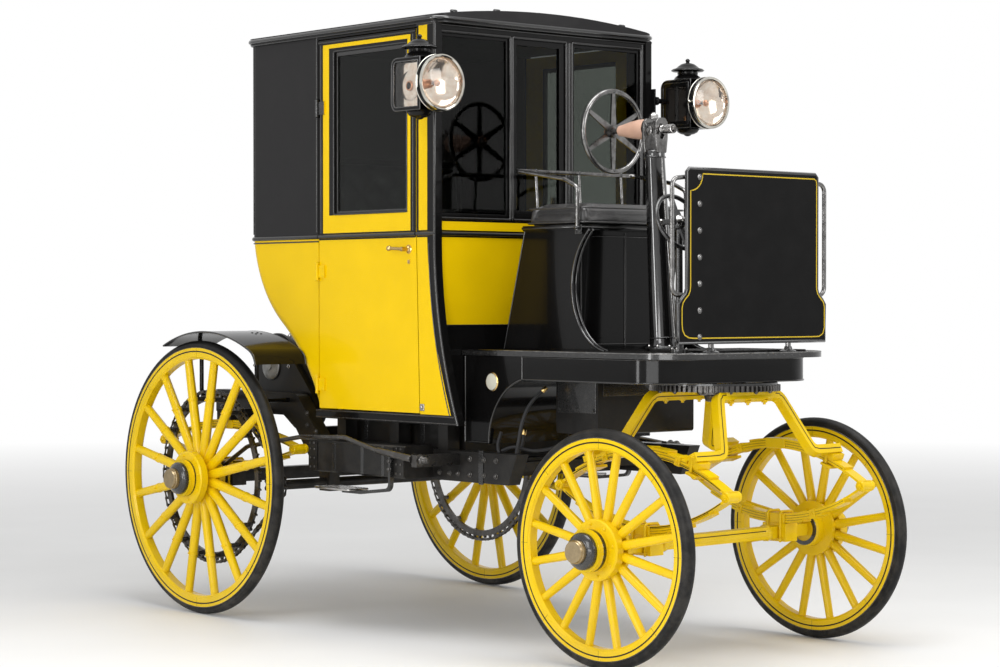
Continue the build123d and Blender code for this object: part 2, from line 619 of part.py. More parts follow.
def step():
    """A tread plate on a flat iron that drops from the side box."""
    face = BEAM_Y + BEAM_W / 2 + 2 * SEAT_GAP + SIDE_BOX_W
    arm_top = BEAM_LOW + 95
    tread = box(STEP_X, (-face - 66, -face + 34), (STEP_Z, STEP_Z + 9))
    tread = fillet(tread.edges().filter_by(Axis.Z), 12)
    under = STEP_Z - 6
    path = FilletPolyline((STEP_X[0] + 120, -face - 9, under), (STEP_X[1] + 12, -face - 9, under),
                          (STEP_ARM_X, -face - 9, STEP_Z + 14), (STEP_ARM_X, -face - 9, arm_top), radius=26)
    arm = sweep(Plane(origin=path @ 0, x_dir=(0, 1, 0), z_dir=path % 0) * Rectangle(17, 13), path)
    return tread.fuse(arm)


# ---------------------------------------------------------------- cab
def side_outline(inset):
    """Rear and underside of the lower body, from the belt round and straight on down."""
    x0 = CAB_REAR_X + inset
    rear = TangentArc((x0, BELT_Z), (BILGE_X + inset * 0.6, CAB_FLOOR_Z + BILGE_RISE + inset),
                      tangent=(0.10, -1))
    under = TangentArc(rear @ 1, (SILL_REAR_X + inset, CAB_FLOOR_Z), tangent=rear % 1)
    end = under @ 1 + (under % 1) * 60
    far = DOOR_FRONT_X
    close = Polyline(under @ 1, (end.X, end.Y), (far, end.Y), (far, BELT_Z), rear @ 0)
    return rear + under + close


def rounded_tub(inset):
    """The lower body's closed shape at a given depth inside its skin, rear corners rounded."""
    w = CAB_HALF_W - inset
    tub = side_plate(side_outline(inset), -w, w)
    rear = [e for e in tub.edges() if e.geom_type == GeomType.CIRCLE]
    return fillet(rear, max(REAR_CORNER_R - inset, 4))


def build_cab():
    w = CAB_HALF_W
    jamb = DOOR_REAR_X - DOOR_GAP
    keep = box((CAB_REAR_X - WALL, jamb), (-w - 1, w + 1), (CAB_FLOOR_Z, BELT_Z))
    save("lower_body", (rounded_tub(0) - rounded_tub(WALL)) & keep)

    def plan(inset):
        half, back, r = w - inset, CAB_REAR_X + inset, max(REAR_CORNER_R - inset, 4)
        line = FilletPolyline((jamb, -half), (back, -half), (back, half), (jamb, half), radius=r)
        return make_face(line + Line((jamb, half), (jamb, -half)))
    save("upper_body", raised(plan(0), BELT_Z, EAVES_Z) - raised(plan(WALL), BELT_Z - 1, EAVES_Z + 1)
         - box((jamb - WALL, jamb + 1), about(0, w - WALL), (BELT_Z - 1, EAVES_Z + 1)))

    front = DOOR_FRONT_X + DOOR_GAP
    foot = front + DOOR_FOOT_GROWTH
    low = CAB_FLOOR_Z - SILL_H
    sweep_edge = ThreePointArc((PILLAR_TOP_X, BELT_Z - 45), (PILLAR_TOP_X + 41, CAB_FLOOR_Z + 280),
                               (PILLAR_FOOT_X, low))
    outline = (Polyline((PILLAR_FOOT_X, low), (foot, low), (foot, CAB_FLOOR_Z), (front, BELT_Z),
                        (front, EAVES_Z), (PILLAR_TOP_X, EAVES_Z), (PILLAR_TOP_X, BELT_Z - 45))
               + sweep_edge)
    save("front_pillars", both(side_plate(outline, -w, -w + WALL)))

    head = box((jamb, front), (-w, -w + WALL), (DOOR_HEAD_Z + DOOR_GAP, EAVES_Z))
    save("door_heads", both(head))

    wall = box((CAB_FRONT_X - WALL, CAB_FRONT_X), about(0, w - WALL), (CAB_FLOOR_Z, EAVES_Z))
    panes = []
    for y0, y1 in FRONT_PANES:
        wall = wall - box((CAB_FRONT_X - 2 * WALL, CAB_FRONT_X + WALL), (y0, y1), FRONT_PANE_Z)
        panes.append(box(about(CAB_FRONT_X - WALL / 2, GLASS_T / 2),
                         (y0 + GLASS_CLEAR, y1 - GLASS_CLEAR),
                         (FRONT_PANE_Z[0] + GLASS_CLEAR, FRONT_PANE_Z[1] - GLASS_CLEAR)))
    save("front_wall", wall)
    save("front_glass", Compound(children=panes))

    floor = box((SILL_REAR_X, CAB_FRONT_X), about(0, w - WALL), (CAB_FLOOR_Z - CAB_FLOOR_T, CAB_FLOOR_Z))
    mat = box((SEAT_BASE_X[1] + MAT_EDGE + 2, CAB_FRONT_X - WALL - MAT_EDGE),
              about(0, w - WALL - MAT_EDGE), (CAB_FLOOR_Z, CAB_FLOOR_Z + MAT_T))
    sill = box((SILL_REAR_X, foot), (-w, -w + WALL), (low, CAB_FLOOR_Z))
    save("cab_floor", floor.fuse(mat, sill, mirror(sill, Plane.XZ)))

    over = w + ROOF_OVERHANG
    edge_z = EAVES_Z + ROOF_T
    outline = (Polyline((-over, edge_z), (-over, EAVES_Z), (over, EAVES_Z), (over, edge_z))
               + ThreePointArc((over, edge_z), (0, edge_z + ROOF_CROWN), (-over, edge_z)))
    roof = cross_plate(outline, CAB_REAR_X - ROOF_OVERHANG, PILLAR_TOP_X + ROOF_OVERHANG)
    save("roof", fillet(roof.edges().filter_by(Axis.Z), REAR_CORNER_R + ROOF_OVERHANG))


def build_doors():
    w = CAB_HALF_W
    outline = Polyline((DOOR_REAR_X, DOOR_SILL_Z), (DOOR_FRONT_X + DOOR_FOOT_GROWTH, DOOR_SILL_Z),
                       (DOOR_FRONT_X, BELT_Z), (DOOR_FRONT_X, DOOR_HEAD_Z),
                       (DOOR_REAR_X, DOOR_HEAD_Z), close=True)
    door = side_plate(outline, -w, -w + WALL) - box(WINDOW_X, (-w - 5, -w + WALL + 5), WINDOW_Z)
    pin_x, pin_y = DOOR_REAR_X - DOOR_GAP, -w - HINGE_OUT
    for z in (DOOR_SILL_Z + 94, BELT_Z - 145, DOOR_HEAD_Z - 268):
        door = door + Pos(pin_x, pin_y, z) * Cylinder(HINGE_PIN_R, HINGE_H)
        door = door + box((pin_x, DOOR_REAR_X + 40), (pin_y + 2, -w), about(z, HINGE_H / 2 - 5))
    glass = box((WINDOW_X[0] + GLASS_CLEAR, WINDOW_X[1] - GLASS_CLEAR),
                about(-w + WALL / 2, GLASS_T / 2),
                (WINDOW_Z[0] + GLASS_CLEAR, WINDOW_Z[1] - GLASS_CLEAR))
    grip_x, grip_z = DOOR_FRONT_X - 43, BELT_Z - 65
    handle = rod((grip_x, -w, grip_z), (grip_x, -w - 38, grip_z), 9)
    handle = handle + rod((grip_x + 8, -w - 34, grip_z), (grip_x - 80, -w - 34, grip_z + 4), 6.5)
    for name, piece in (("door", door), ("door_glass", glass), ("door_handle", handle)):
        save(f"{name}_right", piece)
        save(f"{name}_left", mirror(piece, Plane.XZ))


def build_inside():
    w = CAB_HALF_W - WALL - 10
    top = CAB_FLOOR_Z + SEAT_BASE_RISE
    back, front = SEAT_BASE_X
    seat = box((back, front), about(0, w), (top - SEAT_BASE_T, top))
    seat = seat + box((front - SEAT_BASE_T, front), about(0, w), (CAB_FLOOR_Z, top - SEAT_BASE_T))
    save("passenger_seat", seat)
    low = top + SEAT_GAP
    squab = Polyline((275, low), (front + 10, low), (front + 10, top + 115), (240, top + 115),
                     (165, BELT_Z + 335), (92, BELT_Z + 335), (97, BELT_Z), (152, top + 130),
                     (217, top + 49), close=True)
    half = w - REAR_CORNER_R - 10
    save("passenger_cushions", side_plate(squab, -half, half))


# ---------------------------------------------------------------- driver's end
def apron_plan(rear, front, half, r):
    """A plan outline, open at the rear, with its two front corners rounded."""
    return FilletPolyline((rear, -half), (front, -half), (front, half), (rear, half), radius=r)


def build_platform():
    rear = CAB_FRONT_X + SEAT_GAP
    half = PLATFORM_HALF_W
    line = apron_plan(rear, PLATFORM_FRONT_X, half, PLATFORM_CORNER_R)
    board = raised(make_face(line + Line((rear, half), (rear, -half))), PLATFORM_LOW, PLATFORM_Z)
    pieces = [box((VALANCE_REAR_X + 10, VALANCE_FRONT_X - 90), about(side * BEARER_Y, BEARER_W / 2),
                  (VALANCE_LOW, PLATFORM_LOW)) for side in (-1, 1)]
    pieces.append(box(about(WHEELBASE, 60), about(0, BEARER_Y), (VALANCE_LOW, PLATFORM_LOW)))
    board = board.fuse(*pieces) - Pos(WHEELBASE, 0, 0) * Cylinder(16 + PIN_CLEAR, 4 * PLATFORM_Z)
    mat = box((COLUMN_X + 80, DASH_X - 50), (-150, 330), (PLATFORM_Z, PLATFORM_Z + MAT_T))
    save("platform", board + mat)

    x0, x1, h, t = VALANCE_REAR_X, VALANCE_FRONT_X, VALANCE_HALF_W, VALANCE_T
    r = PLATFORM_CORNER_R - PLATFORM_HALF_W + VALANCE_HALF_W
    out = apron_plan(x0, x1, h, r)
    inn = apron_plan(x0, x1 - t, h - t, r - t)
    valance = make_face(out + inn + Line((x0, -h), (x0, -h + t)) + Line((x0, h), (x0, h - t)))
    save("valance", raised(valance, VALANCE_LOW, PLATFORM_LOW))

    ring = raised(Circle(RING_R - 10) - Circle(RING_R - RING_W), RING_Z + RING_T + SEAT_GAP + 0.2,
                  VALANCE_LOW)
    save("turntable_bed", Pos(WHEELBASE, 0, 0) * ring)

    foot_x, heel_z = CAB_FRONT_X + 148, CAB_FLOOR_Z - 105
    rear, front = CAB_FRONT_X + 1, VALANCE_REAR_X - SEAT_GAP
    outline = (Polyline((rear, heel_z), (rear, PLATFORM_LOW - SEAT_GAP), (front, PLATFORM_LOW - SEAT_GAP),
                        (front, VALANCE_LOW))
               + ThreePointArc((front, VALANCE_LOW), (foot_x + 40, CAB_FLOOR_Z + 32), (foot_x, heel_z))
               + Line((foot_x, heel_z), (rear, heel_z)))
    boot = side_plate(outline, -VALANCE_HALF_W, VALANCE_HALF_W)
    hollow = box((rear + 15, foot_x - 10), about(0, VALANCE_HALF_W - 18), (heel_z - 20, PLATFORM_LOW - 35))
    save("boot", boot - hollow)

    top = PLATFORM_LOW - SEAT_GAP
    shell = box((VALANCE_REAR_X + SEAT_GAP, CONTROLLER_FRONT_X), about(0, CONTROLLER_HALF_W),
                (top - CONTROLLER_H, top))
    save("controller_box", fillet(shell.edges().filter_by(Axis.Y), 12))


def build_dash():
    flare_z = PLATFORM_Z + DASH_FLARE_RISE
    foot_z, top_z = PLATFORM_Z + DASH_FOOT_RISE, PLATFORM_Z + DASH_H
    right = [(DASH_FLARE_HALF_W, foot_z), (DASH_FLARE_HALF_W, flare_z - 12),
             (DASH_FLARE_HALF_W - 14, flare_z + 6), (DASH_HALF_W + 6, flare_z + 26),
             (DASH_HALF_W, flare_z + 44), (DASH_HALF_W, top_z - 12), (DASH_HALF_W - 12, top_z)]
    left = [(-y, z) for y, z in reversed(right)]
    save("dash", cross_plate(Polyline(*right, *left, close=True), DASH_X - DASH_T, DASH_X))
    r = DASH_RAIL_R
    x = DASH_X - DASH_T - r - 2.3
    pieces = []
    for side in (-1, 1):
        y = side * DASH_POST_Y
        pieces.append(rod((x, y, PLATFORM_Z), (x, y, top_z - 20), r + 2))
        out = side * (DASH_FLARE_HALF_W + 13)
        pieces.append(bent_rod([(x, y, top_z - 10 - r), (x, out, top_z - 38), (x, out, flare_z + 20),
                                (x, y, flare_z + 20)], r, 30))
    pieces.append(rod((x, -DASH_POST_Y, top_z - 87), (x, DASH_POST_Y, top_z - 87), r))
    save("dash_rails", pieces[0].fuse(*pieces[1:]))


def build_seat():
    back, front = DRIVER_SEAT_X
    top, floor = SEAT_BOARD_Z - SEAT_BOARD_T, PLATFORM_Z
    heel, toe = back - 132, back + 430
    waist = (back + 254, floor + 225)
    knee = (back + 292, floor + 97)
    rear_edge = Line((back - 12, top), (heel, floor))
    upper = ThreePointArc((back + 346, top), waist, knee)
    lower = ThreePointArc(knee, (back + 346, floor + 37), (toe, floor))
    outline = rear_edge + Line((heel, floor), (toe, floor)) + lower + upper + Line((back + 346, top), (back - 12, top))
    inner = SEAT_SIDE_Y - SEAT_SIDE_T
    panel = side_plate(outline, -SEAT_SIDE_Y, -inner)
    riser = front - 50
    rear_board = side_plate(Polyline((back - 12, top), (heel, floor), (heel + 20, floor),
                                     (back + 8, top), close=True), -inner, inner)
    pieces = [mirror(panel, Plane.XZ), rear_board,
              box((back - 12, front), about(0, SEAT_HALF_W), (top, SEAT_BOARD_Z)),
              box((riser - 20, riser), about(0, inner), (floor, top))]
    save("seat_box", panel.fuse(*pieces))
    cushion = box((back, front + 10), about(0, SEAT_HALF_W),
                  (SEAT_BOARD_Z + SEAT_GAP, SEAT_BOARD_Z + CUSHION_H))
    save("driver_cushion", cushion)

    r = SEAT_RAIL_R
    half, high = SEAT_HALF_W + r + SEAT_GAP, SEAT_BOARD_Z + SEAT_RAIL_H
    x, foot_x = back - 22, front - r
    arm = [(foot_x, half, SEAT_BOARD_Z - SEAT_BOARD_T), (foot_x, half, high - 72),
           (front - 80, half, high - 40), (x, half + 28, high)]
    points = [(px, -py, pz) for px, py, pz in arm] + list(reversed(arm))
    post_x, post_r = back - r + 1.7, r - 2
    posts = [rod((post_x, y, SEAT_BOARD_Z + 1), (x, y, high), post_r) for y in (-201, 22, 245)]
    save("seat_rail", bent_rod(points, r, 26).fuse(*posts))


def build_steering():
    foot_r, head_r = COLUMN_R
    column = Pos(COLUMN_X, 0, PLATFORM_Z) * Cone(foot_r, head_r, COLUMN_H, align=UP)
    flange = Pos(COLUMN_X, 0, PLATFORM_Z) * Cylinder(62, 16, align=UP)
    collar = Pos(COLUMN_X, 0, PLATFORM_Z + 16) * Cone(46, foot_r, 30, align=UP)
    yoke = cross_plate(Polyline((-24, -92), (24, -92), (31, -40), (31, 22), (16, STEERING_HEAD_H / 2),
                                (-16, STEERING_HEAD_H / 2), (-31, 22), (-31, -40), close=True), -36, 42)
    head = Pos(COLUMN_X, 0, HANDWHEEL_Z) * yoke
    bush = rod((COLUMN_X - 118, 0, HANDWHEEL_Z), (COLUMN_X - 30, 0, HANDWHEEL_Z), 21, 26)
    cap = Pos(COLUMN_X - 8, 0, HANDWHEEL_Z + STEERING_HEAD_H / 2 - 1) * Cylinder(15, 16, align=UP)
    worm = rod((COLUMN_X + 40, 0, HANDWHEEL_Z - 8), (COLUMN_X + 84, 0, HANDWHEEL_Z - 8), 12)
    column = column.fuse(flange, collar, head, bush, cap, worm)
    bore = rod((COLUMN_X - 200, 0, HANDWHEEL_Z), (COLUMN_X + 30, 0, HANDWHEEL_Z), SHAFT_R + PIN_CLEAR)
    save("steering_column", column - bore)

    reach = HANDWHEEL_R - HANDWHEEL_TUBE_R
    rim = Rot(0, 90, 0) * Torus(reach, HANDWHEEL_TUBE_R)
    hub = Rot(0, 90, 0) * Cylinder(25, 34)
    nose = rod((-30, 0, 0), (-14, 0, 0), 14, 18)
    spoke = Plane.YZ * Polyline((-14, 12), (-7, reach), (7, reach), (14, 12), close=True)
    spoke = Pos(-4, 0, 0) * extrude(make_face(spoke), 8, dir=(1, 0, 0))
    spokes = [Rot(i * 360 / HANDWHEEL_SPOKES, 0, 0) * spoke for i in range(HANDWHEEL_SPOKES)]
    shaft = rod((0, 0, 0), (HANDWHEEL_TO_COLUMN + 25, 0, 0), SHAFT_R)
    wheel = hub.fuse(rim, nose, shaft, *spokes)
    save("handwheel", Pos(HANDWHEEL_X, 0, HANDWHEEL_Z) * wheel)

    x, y = BRAKE_STAND
    top = PLATFORM_Z + BRAKE_STAND_H
    tilt = Pos(x, y, top) * Rot(0, 65, 0)
    stand = rod((x, y, PLATFORM_Z), (x, y, top - 20), 15, 12)
    base = Pos(x, y, PLATFORM_Z) * Cylinder(34, 12, align=UP)
    ring = tilt * Torus(BRAKE_RING_R, 8)
    bars = [tilt * Rot(0, 0, turn) * Box(18, 2 * BRAKE_RING_R - 6, 9) for turn in (0, 90)]
    boss = Pos(x, y, top - 8) * Sphere(22)
    save("brake_stand", stand.fuse(base, ring, boss, *bars))


def build_lamps():
    x, y, z = LAMP_X, LAMP_Y, EAVES_Z - LAMP_DROP
    back, front = LAMP_BODY_X
    half_w, half_h = LAMP_BODY_HALF
    case = box((back, front), about(-y, half_w), about(z, half_h))
    case = fillet(case.edges().filter_by(Axis.Y).sort_by(Axis.X)[:2], 34)
    case = chamfer(case.edges().filter_by(Axis.Z).sort_by(Axis.X)[-2:], 10)
    horn = rod((front - 6, -y, z), (x - 20, -y, z), half_w + 12, LAMP_R - 12)
    bezel = rod((x - 22, -y, z), (x + 14, -y, z), LAMP_R)
    glass_seat = rod((x - 9, -y, z), (x + 20, -y, z), LAMP_R - 12)
    mid = (back + front) / 2 + 10
    tiers = [Pos(mid, -y, z + half_h - 3) * Cone(56, 44, 24, align=UP),
             Pos(mid, -y, z + half_h + 20) * Cylinder(40, 18, align=UP),
             Pos(mid, -y, z + half_h + 36) * Cone(92, 62, 10, align=UP),
             Pos(mid, -y, z + half_h + 45) * Cone(62, 16, 22, align=UP),
             Pos(mid, -y, z + half_h + 70) * Sphere(10)]
    cup = Pos(mid, -y, z - half_h - 20) * Cone(26, 46, 24, align=UP)
    arm = rod((back + 40, -y + half_w - 4, z + 12), (back + 40, -CAB_HALF_W + 4, z + 12), 10)
    foot = box(about(back + 8, 36), (-CAB_HALF_W - 8, -CAB_HALF_W), (z - 60, z + 60))
    lamp = case.fuse(horn, bezel, *tiers, cup, arm, foot) - glass_seat
    save("lamps", both(lamp))
    lens = rod((x - 9 + SEAT_GAP, -y, z), (x + 6, -y, z), LAMP_R - 12 - GLASS_CLEAR)
    save("lamp_lenses", both(lens))


build_wheels()
build_fore_carriage()
build_rear_axle()
build_frame()
build_drive()
save("mudguards", both(mudguard()))
save("steps", both(step()))
build_cab()
build_doors()
build_inside()
build_platform()
build_dash()
build_seat()
build_steering()
build_lamps()
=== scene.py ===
import json
import math

import bpy
import bmesh
from mathutils import Matrix, Vector


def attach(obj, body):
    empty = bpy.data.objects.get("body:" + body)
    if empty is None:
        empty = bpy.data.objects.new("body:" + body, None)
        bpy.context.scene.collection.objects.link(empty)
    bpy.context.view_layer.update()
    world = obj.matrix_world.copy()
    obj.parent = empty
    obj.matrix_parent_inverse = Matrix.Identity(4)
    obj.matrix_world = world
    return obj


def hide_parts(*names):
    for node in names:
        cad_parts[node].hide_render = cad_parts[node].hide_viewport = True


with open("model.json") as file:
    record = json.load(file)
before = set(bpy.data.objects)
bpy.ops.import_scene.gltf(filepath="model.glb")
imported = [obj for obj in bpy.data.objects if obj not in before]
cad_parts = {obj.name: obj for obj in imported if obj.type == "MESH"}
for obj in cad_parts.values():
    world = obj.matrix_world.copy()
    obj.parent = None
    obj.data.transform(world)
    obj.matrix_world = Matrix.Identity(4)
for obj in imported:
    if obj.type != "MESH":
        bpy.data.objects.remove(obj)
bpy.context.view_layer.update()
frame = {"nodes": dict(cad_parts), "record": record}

# Sizes are millimetres as on the coachbuilder's drawing: X forward from the rear axle,
# Y to the cab's left, Z up from the road. to_part() turns them into the model's metres.
DRAWING_SHIFT = 1032.1746689525582
WHEELBASE = 2173
STEER = math.radians(3.0)
REAR_R, FRONT_R = 560, 420
REAR_MID, FRONT_MID = 775, 585
CAB_SIDE = 565
WALL_FRONT = 1255.6
DOOR_LOW, BELT_Z = 856, 1545
PLATFORM_Z = 1098
CHAIN_Y, CHAIN_PITCH = 723, 31
ROD_Y = 672
LAMP_Y, LAMP_Z = -702, 2083
LAMP_SIDES = (-760, -644)
IRON_TOP_REACH, IRON_FOOT_REACH = 157, 250
FRONT_SPRING_Y, REAR_SPRING_Y = 370, 625

AHEAD, BACK = (1, 0, 0), (-1, 0, 0)
LEFT, RIGHT = (0, 1, 0), (0, -1, 0)
UP, DOWN = (0, 0, 1), (0, 0, -1)


# ---------------------------------------------------------------- forms
# A form is a list of corner points and a list of faces, built up and then made a piece.
def joined(*forms):
    """Several forms as one."""
    points, faces = [], []
    for p, f in forms:
        base = len(points)
        points.extend(p)
        faces.extend([tuple(i + base for i in face) for face in f])
    return points, faces


def moved(form, by):
    return [Vector(p) + Vector(by) for p in form[0]], form[1]


def turned_by(form, matrix, about=(0, 0, 0)):
    about = Vector(about)
    return [matrix @ (Vector(p) - about) + about for p in form[0]], form[1]


def far_side(form):
    """The same form on the other side of the cab."""
    return [Vector((p[0], -p[1], p[2])) for p in form[0]], [tuple(reversed(f)) for f in form[1]]


def pair(form):
    return joined(form, far_side(form))


def frame_along(direction):
    """Two directions square to the one given, and that one at length one."""
    way = Vector(direction).normalized()
    side = way.orthogonal().normalized()
    return side, way.cross(side).normalized(), way


def turning(profile, centre, direction, sides=48, closed=True):
    """A turned form: the profile gives radius and distance along the axis."""
    side, up, way = frame_along(direction)
    centre = Vector(centre)
    points, faces = [], []
    rows = len(profile)
    for r, t in profile:
        for i in range(sides):
            a = 2 * math.pi * i / sides
            points.append(centre + way * t + (side * math.cos(a) + up * math.sin(a)) * r)
    for j in range(rows - 1):
        for i in range(sides):
            k = (i + 1) % sides
            faces.append((j * sides + i, j * sides + k, (j + 1) * sides + k, (j + 1) * sides + i))
    if closed:
        faces.append(tuple(reversed(range(sides))))
        faces.append(tuple(range((rows - 1) * sides, rows * sides)))
    return points, faces


def ring_turning(profile, centre, direction, sides=96):
    """A turned form whose profile is a closed loop, such as a bead or a felloe line."""
    points, faces = turning(profile, centre, direction, sides, closed=False)
    rows = len(profile)
    for i in range(sides):
        k = (i + 1) % sides
        faces.append(((rows - 1) * sides + i, (rows - 1) * sides + k, k, i))
    return points, faces


def bead_ring(centre, direction, radius, r, sides=72, round_sides=10):
    """A ring of round section, such as a rolled bead."""
    loop = [(radius + r * math.cos(2 * math.pi * j / round_sides),
             r * math.sin(2 * math.pi * j / round_sides)) for j in range(round_sides)]
    return ring_turning(loop, centre, direction, sides)


def smooth_path(points, steps=8):
    """A flowing line through a few points."""
    pts = [Vector(p) for p in points]
    if len(pts) < 3:
        return pts
    ends = [2 * pts[0] - pts[1]] + pts + [2 * pts[-1] - pts[-2]]
    out = []
    for i in range(1, len(ends) - 2):
        a, b, c, d = ends[i - 1:i + 3]
        for s in range(steps):
            t = s / steps
            out.append(0.5 * (2 * b + (c - a) * t + (2 * a - 5 * b + 4 * c - d) * t * t
                              + (3 * b - a - 3 * c + d) * t ** 3))
    out.append(pts[-1])
    return out


def run_frames(path, closed=False, up=None):
    """Side and up directions along a path, kept from twisting."""
    n = len(path)
    frames, side = [], None
    for i in range(n):
        before = path[i - 1] if (i > 0 or closed) else path[i]
        after = path[(i + 1) % n] if (i < n - 1 or closed) else path[i]
        way = (after - before).normalized()
        if up is not None:
            side = way.cross(Vector(up)).normalized()
        elif side is None:
            side = way.orthogonal().normalized()
        else:
            side = (side - way * side.dot(way)).normalized()
        frames.append((side, way.cross(side).normalized()))
    return frames


def swept(points, section, closed=False, up=None, scales=None):
    """A section of (side, up) points carried along a path."""
    path = [Vector(p) for p in points]
    frames = run_frames(path, closed, up)
    m, out, faces = len(section), [], []
    for i, p in enumerate(path):
        s, u = frames[i]
        k = scales[i] if scales else 1.0
        out.extend(p + s * a * k + u * b * k for a, b in section)
    rows = len(path)
    for j in range(rows if closed else rows - 1):
        q = (j + 1) % rows
        for i in range(m):
            k = (i + 1) % m
            faces.append((j * m + i, j * m + k, q * m + k, q * m + i))
    if not closed:
        faces.append(tuple(reversed(range(m))))
        faces.append(tuple(range((rows - 1) * m, rows * m)))
    return out, faces


def round_bar(points, r, sides=10, closed=False, scales=None):
    section = [(r * math.cos(2 * math.pi * i / sides), r * math.sin(2 * math.pi * i / sides))
               for i in range(sides)]
    return swept(points, section, closed, None, scales)


def flat_bar(points, wide, thick, up, closed=False):
    """A flat strip along a path: wide across, thick towards the up direction."""
    w, t = wide / 2, thick / 2
    return swept(points, [(-w, -t), (w, -t), (w, t), (-w, t)], closed, up)


def half_round(points, wide, up, closed=False):
    """A half-round moulding whose flat back lies on the path."""
    w = wide / 2
    section = [(w * math.cos(math.pi * i / 6), -w * math.sin(math.pi * i / 6)) for i in range(7)]
    return swept(points, section, closed, up)


def block(x, y, z):
    """A plain block between two limits on each axis."""
    pts = [Vector((a, b, c)) for a in x for b in y for c in z]
    return pts, [(0, 1, 3, 2), (4, 6, 7, 5), (0, 4, 5, 1), (2, 3, 7, 6), (0, 2, 6, 4), (1, 5, 7, 3)]


def stood_up(axis, outline, level):
    """A flat outline, drawn as (x, z), (y, z) or (x, y), stood square to an axis at a level."""
    places = {"y": lambda a, b: (a, level, b), "x": lambda a, b: (level, a, b),
              "z": lambda a, b: (a, b, level)}
    return [Vector(places[axis](a, b)) for a, b in outline]


def board(outline, axis, low, high):
    """A flat outline made solid along an axis."""
    n = len(outline)
    pts = stood_up(axis, outline, low) + stood_up(axis, outline, high)
    faces = [(i, (i + 1) % n, n + (i + 1) % n, n + i) for i in range(n)]
    return pts, faces + [tuple(reversed(range(n))), tuple(range(n, 2 * n))]


def hex_bolt(place, direction, r=9, high=7, washer=True, stub=0):
    """A hexagon head with its corners eased, a washer under it and the thread's end over it."""
    way = Vector(direction).normalized()
    place = Vector(place)
    forms = []
    if washer:
        forms.append(turning([(r * 1.35, 0), (r * 1.35, 1.6), (r * 1.25, 2)], place, way, 20))
    base = 2 if washer else 0
    forms.append(turning([(r, base), (r, base + high * 0.8), (r * 0.8, base + high)], place, way, 6))
    if stub:
        forms.append(turning([(r * 0.5, base + high), (r * 0.5, base + high + stub * 0.8),
                              (r * 0.35, base + high + stub)], place, way, 12))
    return joined(*forms)


def dome(place, direction, r=5, high=3, sides=14):
    """A rivet's or screw's round head."""
    profile = [(r * math.cos(a), high * math.sin(a)) for a in (0, 0.4, 0.8, 1.15, 1.5)]
    return turning(profile, place, direction, sides)


def turned_over(form, flip):
    """The form with its heights turned over where flip is -1."""
    return [Vector((p[0], p[1], p[2] * flip)) for p in form[0]], form[1]


def around(count, start=0.0):
    """Evenly spaced angles round a full turn; start is a share of one step."""
    return [2 * math.pi * (i + start) / count for i in range(count)]


def to_part(p):
    return ((p[0] - DRAWING_SHIFT) / 1000, p[1] / 1000, p[2] / 1000)


def steered(form):
    """Turns a form with the fore-carriage, which stands a little to the left."""
    return turned_by(form, Matrix.Rotation(STEER, 3, "Z"), (WHEELBASE, 0, 0))


def make(name, form, finish, body="chassis", smooth=35, soften=0.0, steps=2):
    """Makes a form into a finished piece that rides on its body."""
    mesh = bpy.data.meshes.new(name)
    mesh.from_pydata([to_part(p) for p in form[0]], [], form[1])
    mesh.validate()
    bm = bmesh.new()
    bm.from_mesh(mesh)
    bmesh.ops.recalc_face_normals(bm, faces=bm.faces)
    bm.to_mesh(mesh)
    bm.free()
    mesh.shade_smooth()
    mesh.set_sharp_from_angle(angle=math.radians(smooth))
    mesh.materials.append(finish)
    piece = bpy.data.objects.new(name, mesh)
    bpy.context.collection.objects.link(piece)
    if soften:
        ease = piece.modifiers.new("eased edges", "BEVEL")
        ease.width = soften / 1000
        ease.segments = steps
        ease.limit_method = "ANGLE"
        ease.angle_limit = math.radians(40)
        ease.harden_normals = True
    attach(piece, body)
    return piece


# ---------------------------------------------------------------- finishing effects
def effect(name, takes, gives):
    """A shader node group with named sockets; returns it with its two end nodes."""
    tree = bpy.data.node_groups.new(name, "ShaderNodeTree")
    kinds = {"value": "NodeSocketFloat", "colour": "NodeSocketColor"}
    for label, kind, default in takes:
        socket = tree.interface.new_socket(name=label, in_out="INPUT", socket_type=kinds[kind])
        socket.default_value = default
    for label, kind in gives:
        tree.interface.new_socket(name=label, in_out="OUTPUT", socket_type=kinds[kind])
    return tree, tree.nodes.new("NodeGroupInput"), tree.nodes.new("NodeGroupOutput")


def add(tree, kind, **settings):
    node = tree.nodes.new(kind)
    for key, value in settings.items():
        if key in node.inputs:
            node.inputs[key].default_value = value
        else:
            setattr(node, key, value)
    return node


def sums(tree, operation, a, b=None, c=None, clamp=False):
    node = tree.nodes.new("ShaderNodeMath")
    node.operation = operation
    node.use_clamp = clamp
    for i, v in enumerate((a, b, c)):
        if v is None:
            continue
        if isinstance(v, (int, float)):
            node.inputs[i].default_value = v
        else:
            tree.links.new(v, node.inputs[i])
    return node.outputs[0]


def spread(tree, value, low, high, to_low=0.0, to_high=1.0):
    node = tree.nodes.new("ShaderNodeMapRange")
    tree.links.new(value, node.inputs["Value"])
    for label, v in (("From Min", low), ("From Max", high), ("To Min", to_low), ("To Max", to_high)):
        if isinstance(v, (int, float)):
            node.inputs[label].default_value = v
        else:
            tree.links.new(v, node.inputs[label])
    return node.outputs["Result"]


def noise_at(tree, vector, scale, detail=4.0, rough=0.55):
    node = tree.nodes.new("ShaderNodeTexNoise")
    tree.links.new(vector, node.inputs["Vector"])
    if isinstance(scale, (int, float)):
        node.inputs["Scale"].default_value = scale
    else:
        tree.links.new(scale, node.inputs["Scale"])
    node.inputs["Detail"].default_value = detail
    node.inputs["Roughness"].default_value = rough
    return node.outputs["Fac"]


